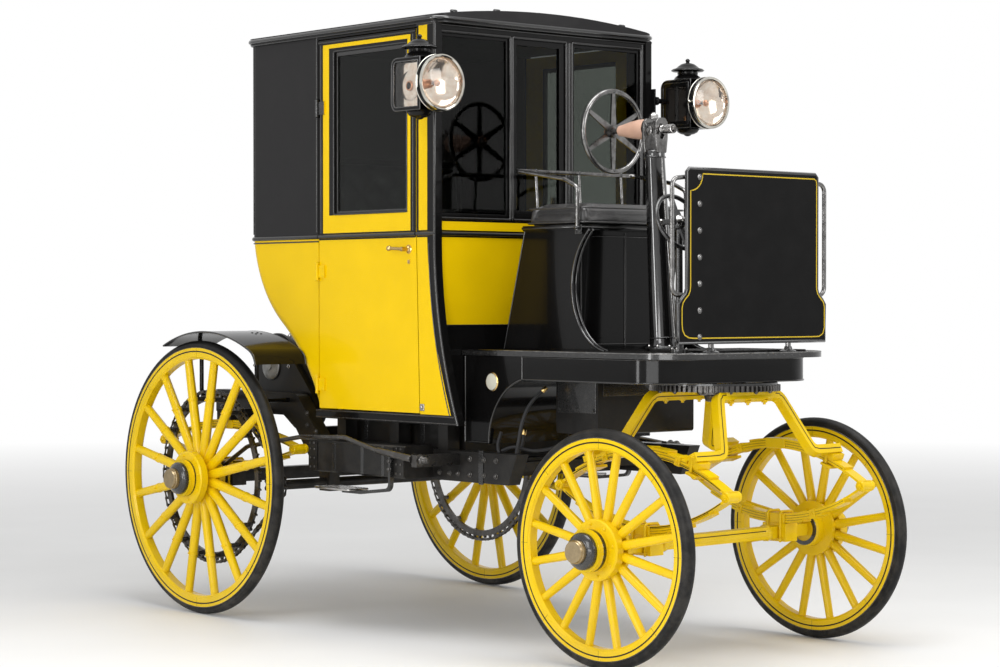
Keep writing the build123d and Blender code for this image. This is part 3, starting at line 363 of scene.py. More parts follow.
def blend_colours(tree, mask, a, b):
    node = tree.nodes.new("ShaderNodeMix")
    node.data_type = "RGBA"
    tree.links.new(mask, node.inputs[0])
    for i, v in ((6, a), (7, b)):
        if isinstance(v, tuple):
            node.inputs[i].default_value = (*v, 1)
        else:
            tree.links.new(v, node.inputs[i])
    return node.outputs[2]


def build_hand_finish():
    """Slow ripples of a hand-rubbed panel, with a faint change of tone and of gloss."""
    tree, take, give = effect("hand rubbed panel",
                              [("Paint", "colour", (0.5, 0.5, 0.5, 1)), ("Deep tone", "value", 0.9),
                               ("Ripple size", "value", 9.0), ("Gloss low", "value", 0.1),
                               ("Gloss high", "value", 0.2)],
                              [("Colour", "colour"), ("Roughness", "value"), ("Height", "value")])
    place = add(tree, "ShaderNodeTexCoord").outputs["Object"]
    slow = noise_at(tree, place, take.outputs["Ripple size"], 2.0)
    fine = noise_at(tree, place, 260.0, 3.0)
    tone = spread(tree, slow, 0.3, 0.7, take.outputs["Deep tone"], 1.0)
    dark = tree.nodes.new("ShaderNodeVectorMath")
    dark.operation = "SCALE"
    tree.links.new(take.outputs["Paint"], dark.inputs[0])
    tree.links.new(tone, dark.inputs["Scale"])
    tree.links.new(dark.outputs[0], give.inputs["Colour"])
    rough = spread(tree, fine, 0.3, 0.7, take.outputs["Gloss low"], take.outputs["Gloss high"])
    tree.links.new(rough, give.inputs["Roughness"])
    tree.links.new(sums(tree, "MULTIPLY_ADD", fine, 0.08, slow), give.inputs["Height"])
    return tree


def build_road_dust():
    """Pale dust that gathers low down and in patches."""
    tree, take, give = effect("road dust",
                              [("Colour", "colour", (0.5, 0.5, 0.5, 1)),
                               ("Dust", "colour", (0.32, 0.29, 0.25, 1)),
                               ("Reach", "value", 0.5), ("Amount", "value", 0.3)],
                              [("Colour", "colour"), ("Mask", "value")])
    place = add(tree, "ShaderNodeTexCoord").outputs["Object"]
    parts = tree.nodes.new("ShaderNodeSeparateXYZ")
    tree.links.new(place, parts.inputs[0])
    low = spread(tree, parts.outputs["Z"], 0.0, take.outputs["Reach"], 1.0, 0.0)
    patches = spread(tree, noise_at(tree, place, 14.0, 6.0, 0.65), 0.42, 0.72)
    mask = sums(tree, "MULTIPLY", sums(tree, "MULTIPLY", low, patches), take.outputs["Amount"],
                clamp=True)
    tree.links.new(blend_colours(tree, mask, take.outputs["Colour"], take.outputs["Dust"]),
                   give.inputs["Colour"])
    tree.links.new(mask, give.inputs["Mask"])
    return tree


def build_scuffs():
    """Short rubbed marks that lay a second colour bare."""
    tree, take, give = effect("rubbed marks",
                              [("Colour", "colour", (0.5, 0.5, 0.5, 1)),
                               ("Bare", "colour", (0.4, 0.4, 0.4, 1)),
                               ("Amount", "value", 0.5), ("Size", "value", 30.0)],
                              [("Colour", "colour"), ("Mask", "value")])
    place = add(tree, "ShaderNodeTexCoord").outputs["Object"]
    broad = spread(tree, noise_at(tree, place, take.outputs["Size"], 5.0, 0.7), 0.55, 0.66)
    thin = spread(tree, noise_at(tree, place, 190.0, 2.0), 0.4, 0.6)
    mask = sums(tree, "MULTIPLY", sums(tree, "MULTIPLY", broad, thin), take.outputs["Amount"],
                clamp=True)
    tree.links.new(blend_colours(tree, mask, take.outputs["Colour"], take.outputs["Bare"]),
                   give.inputs["Colour"])
    tree.links.new(mask, give.inputs["Mask"])
    return tree


def build_leather_grain():
    """Pebbled grain with creases, for hides and for leathercloth."""
    tree, take, give = effect("hide grain",
                              [("Colour", "colour", (0.03, 0.03, 0.03, 1)),
                               ("Pebble", "value", 420.0), ("Crease", "value", 40.0),
                               ("Worn", "colour", (0.09, 0.08, 0.075, 1)), ("Wear", "value", 0.3)],
                              [("Colour", "colour"), ("Roughness", "value"), ("Height", "value")])
    place = add(tree, "ShaderNodeTexCoord").outputs["Object"]
    cells = tree.nodes.new("ShaderNodeTexVoronoi")
    cells.feature = "SMOOTH_F1"
    tree.links.new(place, cells.inputs["Vector"])
    tree.links.new(take.outputs["Pebble"], cells.inputs["Scale"])
    creases = noise_at(tree, place, take.outputs["Crease"], 5.0, 0.6)
    height = sums(tree, "MULTIPLY_ADD", cells.outputs["Distance"], -0.5,
                  sums(tree, "MULTIPLY", creases, 1.2))
    tree.links.new(height, give.inputs["Height"])
    mask = sums(tree, "MULTIPLY", spread(tree, creases, 0.48, 0.7), take.outputs["Wear"], clamp=True)
    tree.links.new(blend_colours(tree, mask, take.outputs["Colour"], take.outputs["Worn"]),
                   give.inputs["Colour"])
    tree.links.new(spread(tree, creases, 0.3, 0.7, 0.32, 0.5), give.inputs["Roughness"])
    return tree


def build_metal_marks():
    """Tarnish clouds and fine file marks on bare or plated metal."""
    tree, take, give = effect("tarnish and file marks",
                              [("Bright", "colour", (0.7, 0.7, 0.7, 1)),
                               ("Tarnish", "colour", (0.3, 0.3, 0.3, 1)),
                               ("Amount", "value", 0.4), ("Smooth", "value", 0.15),
                               ("Dull", "value", 0.4)],
                              [("Colour", "colour"), ("Roughness", "value"), ("Height", "value")])
    place = add(tree, "ShaderNodeTexCoord").outputs["Object"]
    clouds = spread(tree, noise_at(tree, place, 34.0, 6.0, 0.65), 0.38, 0.68)
    marks = noise_at(tree, place, 600.0, 2.0)
    mask = sums(tree, "MULTIPLY", clouds, take.outputs["Amount"], clamp=True)
    tree.links.new(blend_colours(tree, mask, take.outputs["Bright"], take.outputs["Tarnish"]),
                   give.inputs["Colour"])
    tree.links.new(spread(tree, sums(tree, "MULTIPLY_ADD", marks, 0.3, mask), 0.0, 1.0,
                          take.outputs["Smooth"], take.outputs["Dull"]), give.inputs["Roughness"])
    tree.links.new(marks, give.inputs["Height"])
    return tree


HAND_FINISH = build_hand_finish()
ROAD_DUST = build_road_dust()
SCUFFS = build_scuffs()
HIDE_GRAIN = build_leather_grain()
METAL_MARKS = build_metal_marks()


def place_effect(tree, group, **values):
    node = tree.nodes.new("ShaderNodeGroup")
    node.node_tree = group
    for label, v in values.items():
        socket = node.inputs[label.replace("_", " ")]
        if hasattr(v, "is_output"):
            tree.links.new(v, socket)
        else:
            socket.default_value = (*v, 1) if isinstance(v, tuple) else v
    return node.outputs


def new_finish(name, **plain):
    """A material with its constant values set on the shader's own sockets."""
    finish = bpy.data.materials.new(name)
    finish.use_nodes = True
    tree = finish.node_tree
    shader = tree.nodes["Principled BSDF"]
    for label, v in plain.items():
        shader.inputs[label.replace("_", " ")].default_value = v
    return finish, tree, shader


def raise_grain(tree, shader, height, strength, distance):
    bump = tree.nodes.new("ShaderNodeBump")
    bump.inputs["Strength"].default_value = strength
    bump.inputs["Distance"].default_value = distance
    tree.links.new(height, bump.inputs["Height"])
    tree.links.new(bump.outputs[0], shader.inputs["Normal"])


def coach_paint(name, rgb, gloss=(0.16, 0.26), deep=0.93, ripple=0.05, dust=0.0, reach=0.5,
                scuff=0.0, bare=(0.3, 0.28, 0.25), coat=0.3, shine=0.25):
    finish, tree, shader = new_finish(name, Coat_Weight=coat, Coat_Roughness=0.04, Coat_IOR=1.5,
                                      Specular_IOR_Level=shine)
    rubbed = place_effect(tree, HAND_FINISH, Paint=rgb, Deep_tone=deep, Ripple_size=7.0,
                          Gloss_low=gloss[0], Gloss_high=gloss[1])
    colour = rubbed["Colour"]
    if scuff:
        marks = place_effect(tree, SCUFFS, Colour=colour, Bare=bare, Amount=scuff, Size=26.0)
        colour = marks["Colour"]
    if dust:
        dusty = place_effect(tree, ROAD_DUST, Colour=colour, Reach=reach, Amount=dust)
        colour = dusty["Colour"]
    tree.links.new(colour, shader.inputs["Base Color"])
    tree.links.new(rubbed["Roughness"], shader.inputs["Roughness"])
    raise_grain(tree, shader, rubbed["Height"], ripple, 0.004)
    return finish


def hide(name, rgb, worn, pebble=420.0, crease=40.0, wear=0.3, strength=0.35, coat=0.25,
         depth=0.0009, shine=0.3):
    finish, tree, shader = new_finish(name, Coat_Weight=coat, Coat_Roughness=0.22,
                                      Specular_IOR_Level=shine)
    grain = place_effect(tree, HIDE_GRAIN, Colour=rgb, Pebble=pebble, Crease=crease, Worn=worn,
                         Wear=wear)
    tree.links.new(grain["Colour"], shader.inputs["Base Color"])
    tree.links.new(grain["Roughness"], shader.inputs["Roughness"])
    raise_grain(tree, shader, grain["Height"], strength, depth)
    return finish


def metal(name, bright, tarnish, amount=0.4, smooth=0.12, dull=0.4, strength=0.08, coat=0.0,
          full=1.0):
    finish, tree, shader = new_finish(name, Metallic=full, Coat_Weight=coat)
    marks = place_effect(tree, METAL_MARKS, Bright=bright, Tarnish=tarnish, Amount=amount,
                         Smooth=smooth, Dull=dull)
    tree.links.new(marks["Colour"], shader.inputs["Base Color"])
    tree.links.new(marks["Roughness"], shader.inputs["Roughness"])
    raise_grain(tree, shader, marks["Height"], strength, 0.0004)
    return finish


def glazing(name, tint, bend):
    finish, tree, shader = new_finish(name, Transmission_Weight=1.0, Roughness=0.0, IOR=bend)
    place = add(tree, "ShaderNodeTexCoord").outputs["Object"]
    clouding = spread(tree, noise_at(tree, place, 1.7, 2.0), 0.35, 0.7)
    deeper = tuple(0.88 * c for c in tint)
    tree.links.new(blend_colours(tree, clouding, tint, deeper), shader.inputs["Base Color"])
    return finish


YELLOW_PAINT = coach_paint("yellow coach paint", (0.81, 0.53, 0.001), (0.2, 0.32), 0.95, 0.03,
                           coat=0.1, shine=0.12)
YELLOW_WHEEL = coach_paint("yellow wheel paint", (0.82, 0.55, 0.001), (0.24, 0.38), 0.9, 0.05,
                           dust=0.12, reach=0.7, scuff=0.1, bare=(0.42, 0.25, 0.03), coat=0.2,
                           shine=0.2)
BLACK_PAINT = coach_paint("black coach paint", (0.005, 0.0048, 0.0048), (0.1, 0.18), 0.9, 0.05,
                          coat=0.2, shine=0.12)
POLISHED_BLACK = coach_paint("polished black enamel", (0.006, 0.0058, 0.0058), (0.08, 0.16), 0.9,
                             0.02, scuff=0.12, bare=(0.1, 0.095, 0.09), coat=1.0, shine=0.6)
BLACK_BEAD = coach_paint("black moulding paint", (0.009, 0.0085, 0.008), (0.14, 0.24), 0.9, 0.02,
                         scuff=0.15, bare=(0.1, 0.095, 0.09), coat=0.6, shine=0.4)
LINE_BLACK = coach_paint("black lining", (0.008, 0.006, 0.004), (0.3, 0.4), 0.95, 0.02, coat=0.1)
LINE_YELLOW = coach_paint("yellow lining", (0.62, 0.43, 0.02), (0.25, 0.35), 0.92, 0.02, coat=0.1)
FRAME_BLACK = coach_paint("chassis black", (0.009, 0.0082, 0.0075), (0.3, 0.48), 0.75, 0.16,
                          dust=0.16, reach=0.9, scuff=0.12, bare=(0.07, 0.06, 0.05), coat=0.12)
IRON_BLACK = coach_paint("stoved black ironwork", (0.012, 0.0118, 0.0118), (0.2, 0.34), 0.8, 0.1,
                         dust=0.05, reach=1.2, scuff=0.35, bare=(0.12, 0.115, 0.11), coat=0.6,
                         shine=0.5)
ROOF_HIDE = hide("black leathercloth", (0.009, 0.0085, 0.009), (0.022, 0.021, 0.021), 520.0, 9.0,
                 0.35, 0.22, 0.08, shine=0.2)
SEAT_HIDE = hide("driver seat hide", (0.028, 0.027, 0.027), (0.09, 0.086, 0.082), 360.0, 26.0, 0.4,
                 0.45, 0.5, shine=0.5)
CAB_HIDE = hide("buttoned cab hide", (0.035, 0.032, 0.03), (0.1, 0.095, 0.09), 380.0, 30.0, 0.45,
                0.4, 0.4)
DASH_HIDE = hide("patent dash hide", (0.0018, 0.0017, 0.0017), (0.006, 0.0055, 0.0055), 480.0, 14.0,
                 0.35, 0.16, 0.12, shine=0.08)
LINING_CLOTH = hide("cab lining cloth", (0.03, 0.029, 0.025), (0.05, 0.047, 0.04), 900.0, 60.0, 0.4,
                    0.3, 0.0)
RUBBER = coach_paint("tyre rubber", (0.006, 0.0058, 0.0056), (0.42, 0.6), 0.9, 0.12, dust=0.16,
                     reach=1.3, coat=0.0)
MAT_RUBBER = coach_paint("ribbed rubber mat", (0.02, 0.019, 0.018), (0.45, 0.6), 0.8, 0.15, coat=0.0)
STEEL = metal("polished steel", (0.56, 0.55, 0.54), (0.24, 0.22, 0.2), 0.45, 0.12, 0.34)
DARK_STEEL = metal("worn dark steel", (0.13, 0.125, 0.12), (0.04, 0.036, 0.033), 0.6, 0.22, 0.5, 0.15)
WORN_IRON = metal("handled iron", (0.27, 0.265, 0.26), (0.05, 0.048, 0.046), 0.8, 0.12, 0.34, 0.12)
GREY_CASTING = metal("grey alloy casting", (0.34, 0.34, 0.33), (0.12, 0.115, 0.11), 0.6, 0.3, 0.55,
                     0.25)
NICKEL = metal("nickel plate", (0.7, 0.68, 0.62), (0.42, 0.38, 0.32), 0.35, 0.07, 0.26)
SILVERED = metal("silvered reflector", (0.86, 0.8, 0.73), (0.7, 0.5, 0.37), 0.6, 0.06, 0.25)
BRASS = metal("brass", (0.68, 0.48, 0.2), (0.35, 0.23, 0.09), 0.45, 0.14, 0.4)
BRONZE = metal("bronze hub cap", (0.42, 0.33, 0.2), (0.2, 0.15, 0.09), 0.5, 0.25, 0.5, 0.2)
COPPER = metal("worn copper", (0.66, 0.38, 0.26), (0.3, 0.16, 0.11), 0.45, 0.22, 0.45)
SLEEVE_COPPER = coach_paint("pale copper sleeve", (0.6, 0.37, 0.27), (0.3, 0.45), 0.75, 0.12,
                            scuff=0.2, bare=(0.75, 0.52, 0.42), coat=0.1)
ENAMEL = coach_paint("white enamel", (0.62, 0.6, 0.5), (0.15, 0.25), 0.85, 0.05)
CABLE_COVER = coach_paint("cable braid", (0.03, 0.03, 0.032), (0.5, 0.65), 0.7, 0.3, coat=0.0)
SEAT_WOOD = coach_paint("varnished ash", (0.22, 0.105, 0.04), (0.25, 0.38), 0.7, 0.08, coat=0.3)
WINDOW_GLASS = glazing("window glass", (0.24, 0.26, 0.24), 1.24)
LAMP_GLASS = glazing("lamp glass", (0.97, 0.95, 0.92), 1.35)

by_slot = {"yellow_paint": YELLOW_PAINT, "black_paint": BLACK_PAINT, "black_iron": FRAME_BLACK,
           "black_leathercloth": ROOF_HIDE, "black_leather": SEAT_HIDE, "wood": SEAT_WOOD,
           "glass": WINDOW_GLASS, "brass": BRASS, "rubber": RUBBER}
by_node = {"dash": DASH_HIDE, "dash_rails": WORN_IRON, "seat_rail": WORN_IRON,
           "steering_column": WORN_IRON, "handwheel": WORN_IRON, "brake_stand": IRON_BLACK,
           "lamps": BLACK_PAINT, "sprocket_left": DARK_STEEL, "sprocket_right": DARK_STEEL,
           "turntable_ring": DARK_STEEL, "turntable_bed": IRON_BLACK, "mudguards": BLACK_PAINT,
           "radius_rods": DARK_STEEL, "controller_box": FRAME_BLACK, "steps": IRON_BLACK,
           "front_springs": YELLOW_WHEEL, "spring_irons": YELLOW_WHEEL, "front_axle": YELLOW_WHEEL,
           "rear_springs": YELLOW_WHEEL, "wheel_rear_left": YELLOW_WHEEL,
           "wheel_rear_right": YELLOW_WHEEL, "wheel_front_left": YELLOW_WHEEL,
           "wheel_front_right": YELLOW_WHEEL, "door_handle_left": BRASS,
           "door_handle_right": BRASS, "battery_box": FRAME_BLACK}
slots = {n["node"]: n["material_slot"] for n in frame["record"]["subparts"]}
for node, thing in frame["nodes"].items():
    thing.data.materials.clear()
    thing.data.materials.append(by_node.get(node, by_slot[slots[node]]))


# ---------------------------------------------------------------- wheels
def hub_fittings(centre, out, hub_out, groove_at, body, name, turn):
    """Groove, band, black collar and turned cap on the outer end of a hub, with its bolts."""
    cap, collar, band = 26, 30, 22
    at = hub_out - cap - collar - band
    c = Vector(centre)
    groove = ring_turning([(66.5, at - 15), (74, at - 15), (74.4, at - 13), (74.4, at - 2),
                           (74, at), (66.5, at)], c, out, 64)
    make(f"hub_groove_{name}", turn(groove), BLACK_BEAD, body)
    ring = ring_turning([(72, at), (74.2, at + 0.2), (74.9, at + 3), (74.2, at + 6), (74.2, at + 16),
                         (74.9, at + 19), (74.2, at + 22), (72, at + 22)], c, out, 64)
    make(f"hub_band_{name}", turn(ring), YELLOW_WHEEL, body, 40)
    at = hub_out - cap - collar
    sleeve = turning([(64.3, at - 0.5), (65, at + 2), (65, at + collar - 16), (62, at + collar - 10),
                      (46, at + collar + 0.6), (42.5, at + collar + 1.2), (41, at + collar + 0.8)],
                     c, out, 64, closed=False)
    make(f"hub_collar_{name}", turn(sleeve), IRON_BLACK, body, 50)
    at = hub_out - cap
    rim = turning([(40.6, at - 1), (42, at + 1), (42, at + 13), (40, at + 16)], c, out, 40)
    face = turning([(40, at + 15), (39.6, at + 22), (37.5, at + cap), (24, at + cap + 0.3),
                    (22, at + cap + 0.1), (20, at + cap + 0.3), (0.4, at + cap + 0.4)], c, out, 40)
    make(f"hub_cap_{name}", turn(joined(rim, face)), BRONZE, body, 32)
    side, up, way = frame_along(out)
    bolts = []
    for a in around(8, 0.25):
        place = c + (side * math.cos(a) + up * math.sin(a)) * 91 + way * groove_at
        bolts.append(hex_bolt(place, out, 5.6, 3.6, False, 2.2))
    make(f"hub_bolts_{name}", turn(joined(*bolts)), YELLOW_WHEEL, body)


def felloe_lines(centre, out, rim, inner, half, body, name, turn):
    """Black lining round the felloe, the joints between its lengths, and the channel's lips."""
    c = Vector(centre)
    lines = []
    r, w = rim - 15, 2.6
    for face, way in ((half, 1), (-half, -1)):
        lines.append(ring_turning([(r - w, face - way * 0.4), (r - w, face + way * 0.5),
                                   (r + w, face + way * 0.5), (r + w, face - way * 0.4)],
                                  c, out, 128))
    side, up, way = frame_along(out)
    make(f"felloe_lining_{name}", turn(joined(*lines)), LINE_BLACK, body)
    lips = []
    for face in (half - 1.5, -half + 1.5):
        lips.append(bead_ring(c + way * face, out, rim + 1.2, 2.3, 128, 8))
    make(f"channel_lips_{name}", turn(joined(*lips)), DARK_STEEL, body, 60)
    joints, screws = [], []
    for a in around(8):
        radial = side * math.cos(a) + up * math.sin(a)
        across = way.cross(radial)
        for face in (half, -half):
            low, high = c + radial * (inner + 6) + way * face, c + radial * (rim - 3) + way * face
            joints.append(flat_bar([low, high], 0.9, 0.7, way))
        for k in (-16, 16):
            place = c + radial * (rim - 30) + across * k + way * (half + 0.1)
            screws.append(dome(place, way, 3.4, 1.1, 12))
    make(f"felloe_joints_{name}", turn(joined(*joints)), LINE_BLACK, body)
    make(f"felloe_screws_{name}", turn(joined(*screws)), YELLOW_WHEEL, body)


def spoke_collars(centre, out, r, thick, body, name, turn, finish):
    """Clips round the rear spokes that hold the chain ring."""
    way, c = Vector(out).normalized(), Vector(centre)
    clips, nuts = [], []
    for a in around(16, 0.5):
        radial = Vector((math.sin(a), 0, math.cos(a)))
        clips.append(turning([(thick, -7), (thick + 1.8, -6), (thick + 1.8, 6), (thick, 7)],
                             c + radial * r, radial, 20, closed=False))
        nuts.append(hex_bolt(c + radial * r + way * (thick + 1), way, 5, 4, False, 4))
    make(f"spoke_clips_{name}", turn(joined(*clips)), finish, body, 50)
    make(f"spoke_clip_nuts_{name}", turn(joined(*nuts)), finish, body)


def same(form):
    """What a piece that doesn't turn with the fore-carriage takes in the place of steered()."""
    return form


def fit_wheels():
    """Hub fittings, felloe lines and spoke clips of the four wheels."""
    for side, way in (("right", -1), ("left", 1)):
        out = (0, way, 0)
        body = f"wheel_rear_{side}"
        centre = (0, way * REAR_MID, REAR_R)
        hub_fittings(centre, out, 160, 76, body, f"rear_{side}", same)
        felloe_lines(centre, out, REAR_R - 29, REAR_R - 75, 25, body, f"rear_{side}", same)
        spoke_collars(centre, out, 323, 18.6, body, f"rear_{side}", same, YELLOW_WHEEL)
        body = f"wheel_front_{side}"
        centre = (WHEELBASE, way * FRONT_MID, FRONT_R)
        hub_fittings(centre, out, 153, 46, body, f"front_{side}", steered)
        felloe_lines(centre, out, FRONT_R - 33, FRONT_R - 75, 25, body, f"front_{side}", steered)
        seal = turning([(46, -78), (60, -78), (62, -74), (62, -40), (58, -36)], centre, out, 48,
                       closed=False)
        make(f"hub_seal_front_{side}", steered(seal), IRON_BLACK, body, 50)


# ---------------------------------------------------------------- chains
def fit_chains():
    """Roller chain links laid round the chain ring and the pinion on each side."""
    big, small = 345 + 7.0, 62 + 6.5
    a, b = Vector((0, 0, REAR_R)), Vector((440, 0, 548))
    gap = b - a
    away = math.atan2(gap.z, gap.x)
    lean = math.acos((big - small) / gap.length)
    top, low = away + lean, away - lean

    def on(c, r, t):
        return c + Vector((r * math.cos(t), 0, r * math.sin(t)))
    runs = [on(a, big, top + (2 * math.pi - 2 * lean) * i / 60) for i in range(61)]
    runs += [on(a, big, low).lerp(on(b, small, low), i / 12) for i in range(1, 12)]
    runs += [on(b, small, low + 2 * lean * i / 14) for i in range(15)]
    runs += [on(b, small, top).lerp(on(a, big, top), i / 12) for i in range(1, 12)]
    lengths = [0.0]
    for p, q in zip(runs, runs[1:] + runs[:1]):
        lengths.append(lengths[-1] + (q - p).length)
    total = lengths[-1]
    count = 2 * round(total / (2 * CHAIN_PITCH))
    pins = []
    for i in range(count):
        want = total * i / count
        k = max(j for j in range(len(runs)) if lengths[j] <= want)
        p, q = runs[k], runs[(k + 1) % len(runs)]
        pins.append(p.lerp(q, (want - lengths[k]) / max((q - p).length, 1e-6)))
    for side, way in (("right", -1), ("left", 1)):
        plates, rollers = [], []
        for i, p in enumerate(pins):
            q = pins[(i + 1) % count]
            along = (q - p).normalized()
            up = Vector((-along.z, 0, along.x))
            reach = 6.2 if i % 2 else 8.4
            outline = []
            for end, start, waist in ((p, math.pi / 2, -4.6), (q, -math.pi / 2, 4.6)):
                for s in range(7):
                    t = start + math.pi * s / 6
                    outline.append(end + along * 6.4 * math.cos(t) + up * 6.4 * math.sin(t))
                outline.append(p.lerp(q, 0.5) + up * waist)
            for face in (-1, 1):
                y = way * CHAIN_Y + face * reach
                plates.append(board([(v.x, v.z) for v in outline], "y", y - 0.95, y + 0.95))
            for r, half, sides in ((5.4, 5, 12), (2.6, 9.8, 8)):
                rollers.append(turning([(r, -half), (r, half)], (p.x, way * CHAIN_Y, p.z),
                                       LEFT, sides))
        chain = make(f"drive_chain_{side}", joined(*plates, *rollers), DARK_STEEL, smooth=40)
        if way < 0:
            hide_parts("chains")


# ---------------------------------------------------------------- springs and fore-carriage
LEAF_THICK = 9


def leaf_line(x, number, half, rise):
    """Height over the eyes of a leaf's outer face."""
    r = (half ** 2 + rise ** 2) / (2 * rise)
    return math.sqrt((r + number * LEAF_THICK) ** 2 - x ** 2) - (r - rise)


def spring_fittings(centre, half, rise, out, name, body, turn, clamp_low):
    """Leaf edges lined in black, hooped clips, eye bolts and the U-bolts at the middle."""
    x0, y0, z0 = centre
    leaves = (1.0, 0.8, 0.54, 0.32)
    lines, clips, nuts, blocks = [], [], [], []
    for flip in (1, -1):
        for k in (1, 2, 3):
            reach = half * leaves[k] * 0.99
            for side in (-1, 1):
                path = []
                for i in range(25):
                    x = -reach + 2 * reach * i / 24
                    z = leaf_line(x, k, half, rise)
                    path.append((x0 + x, y0 + side * 25.2, z0 + flip * z))
                lines.append(flat_bar(path, 1.1, 0.8, (0, side, 0)))
        path = []
        for i in range(41):
            x = -half * 0.93 + 1.86 * half * i / 40
            z = leaf_line(x, 0, half, rise) + LEAF_THICK / 2
            path.append((x0 + x, y0 + out * 25.3, z0 + flip * z))
        lines.append(flat_bar(path, 3.0, 0.8, (0, out, 0)))
        for x in (-half * 0.44, half * 0.44):
            n = 3 if abs(x) < half * 0.54 else 2
            top = leaf_line(x, n, half, rise)
            low = leaf_line(x, 0, half, rise)
            tilt = -flip * x / (half * half / (2 * rise))
            hoop = block((-13, 13), (-29, 29), (low - 3, top + 3.4))
            hoop = turned_by(hoop, Matrix.Rotation(-tilt * flip, 3, "Y"), (0, 0, (low + top) / 2))
            clips.append(moved(turned_over(hoop, flip), (x0 + x, y0, z0)))
            for s in (-1, 1):
                place = (x0 + x, y0 + s * 29, z0 + flip * (low + top) / 2)
                nuts.append(hex_bolt(place, (0, s, 0), 5.5, 4.5, False, 2))
        top = leaf_line(0, 4, half, rise)
        low = leaf_line(0, 0, half, rise)
        seat = block((-46, 46), (-31, 31), (low - 1, top + 1.0))
        blocks.append(moved(turned_over(seat, flip), (x0, y0, z0)))
    make(f"spring_lining_{name}", turn(joined(*lines)), LINE_BLACK, body)
    make(f"spring_clips_{name}", turn(joined(*clips)), YELLOW_WHEEL, body, soften=1.6)
    make(f"spring_seats_{name}", turn(joined(*blocks)), YELLOW_WHEEL, body, soften=3)
    loops = []
    high_z = z0 - leaf_line(0, 0, half, rise) + 7
    for x in (x0 - 30, x0 + 30):
        path = [(x, y0 - 35, clamp_low), (x, y0 - 35, high_z - 6), (x, y0 - 30, high_z),
                (x, y0 + 30, high_z), (x, y0 + 35, high_z - 6), (x, y0 + 35, clamp_low)]
        loops.append(round_bar(path, 5.5, 10))
        for s in (-35, 35):
            nuts.append(hex_bolt((x, y0 + s, clamp_low + 9), DOWN, 8.5, 7, True, 5))
    make(f"spring_u_bolts_{name}", turn(joined(*loops)), YELLOW_WHEEL, body, 50)
    eyes = []
    for end in (-1, 1):
        ex = x0 + end * half
        for s in (-1, 1):
            eyes.append(turning([(17.3, 22), (19.5, 24), (19.5, 33), (17, 35.6)], (ex, y0, z0),
                                (0, s, 0), 24))
            nuts.append(hex_bolt((ex, y0 + s * 35.5, z0), (0, s, 0), 10, 7, False, 4))
        eyes.append(block((ex - 9, ex + 9), (y0 - 26, y0 + 26), (z0 - 20, z0 + 20)))
    make(f"spring_eyes_{name}", turn(joined(*eyes)), YELLOW_WHEEL, body, soften=2)
    make(f"spring_nuts_{name}", turn(joined(*nuts)), YELLOW_WHEEL, body)


def fit_springs():
    """The fittings of the front pair of elliptic springs and of the rear pair."""
    for side, s in (("right", -1), ("left", 1)):
        spring_fittings((WHEELBASE, s * FRONT_SPRING_Y, 612), 400, 122, s, f"front_{side}",
                        "fore_carriage", steered, 388)
        spring_fittings((0, s * REAR_SPRING_Y, 690), 470, 66, s, f"rear_{side}", "chassis", same, 524)


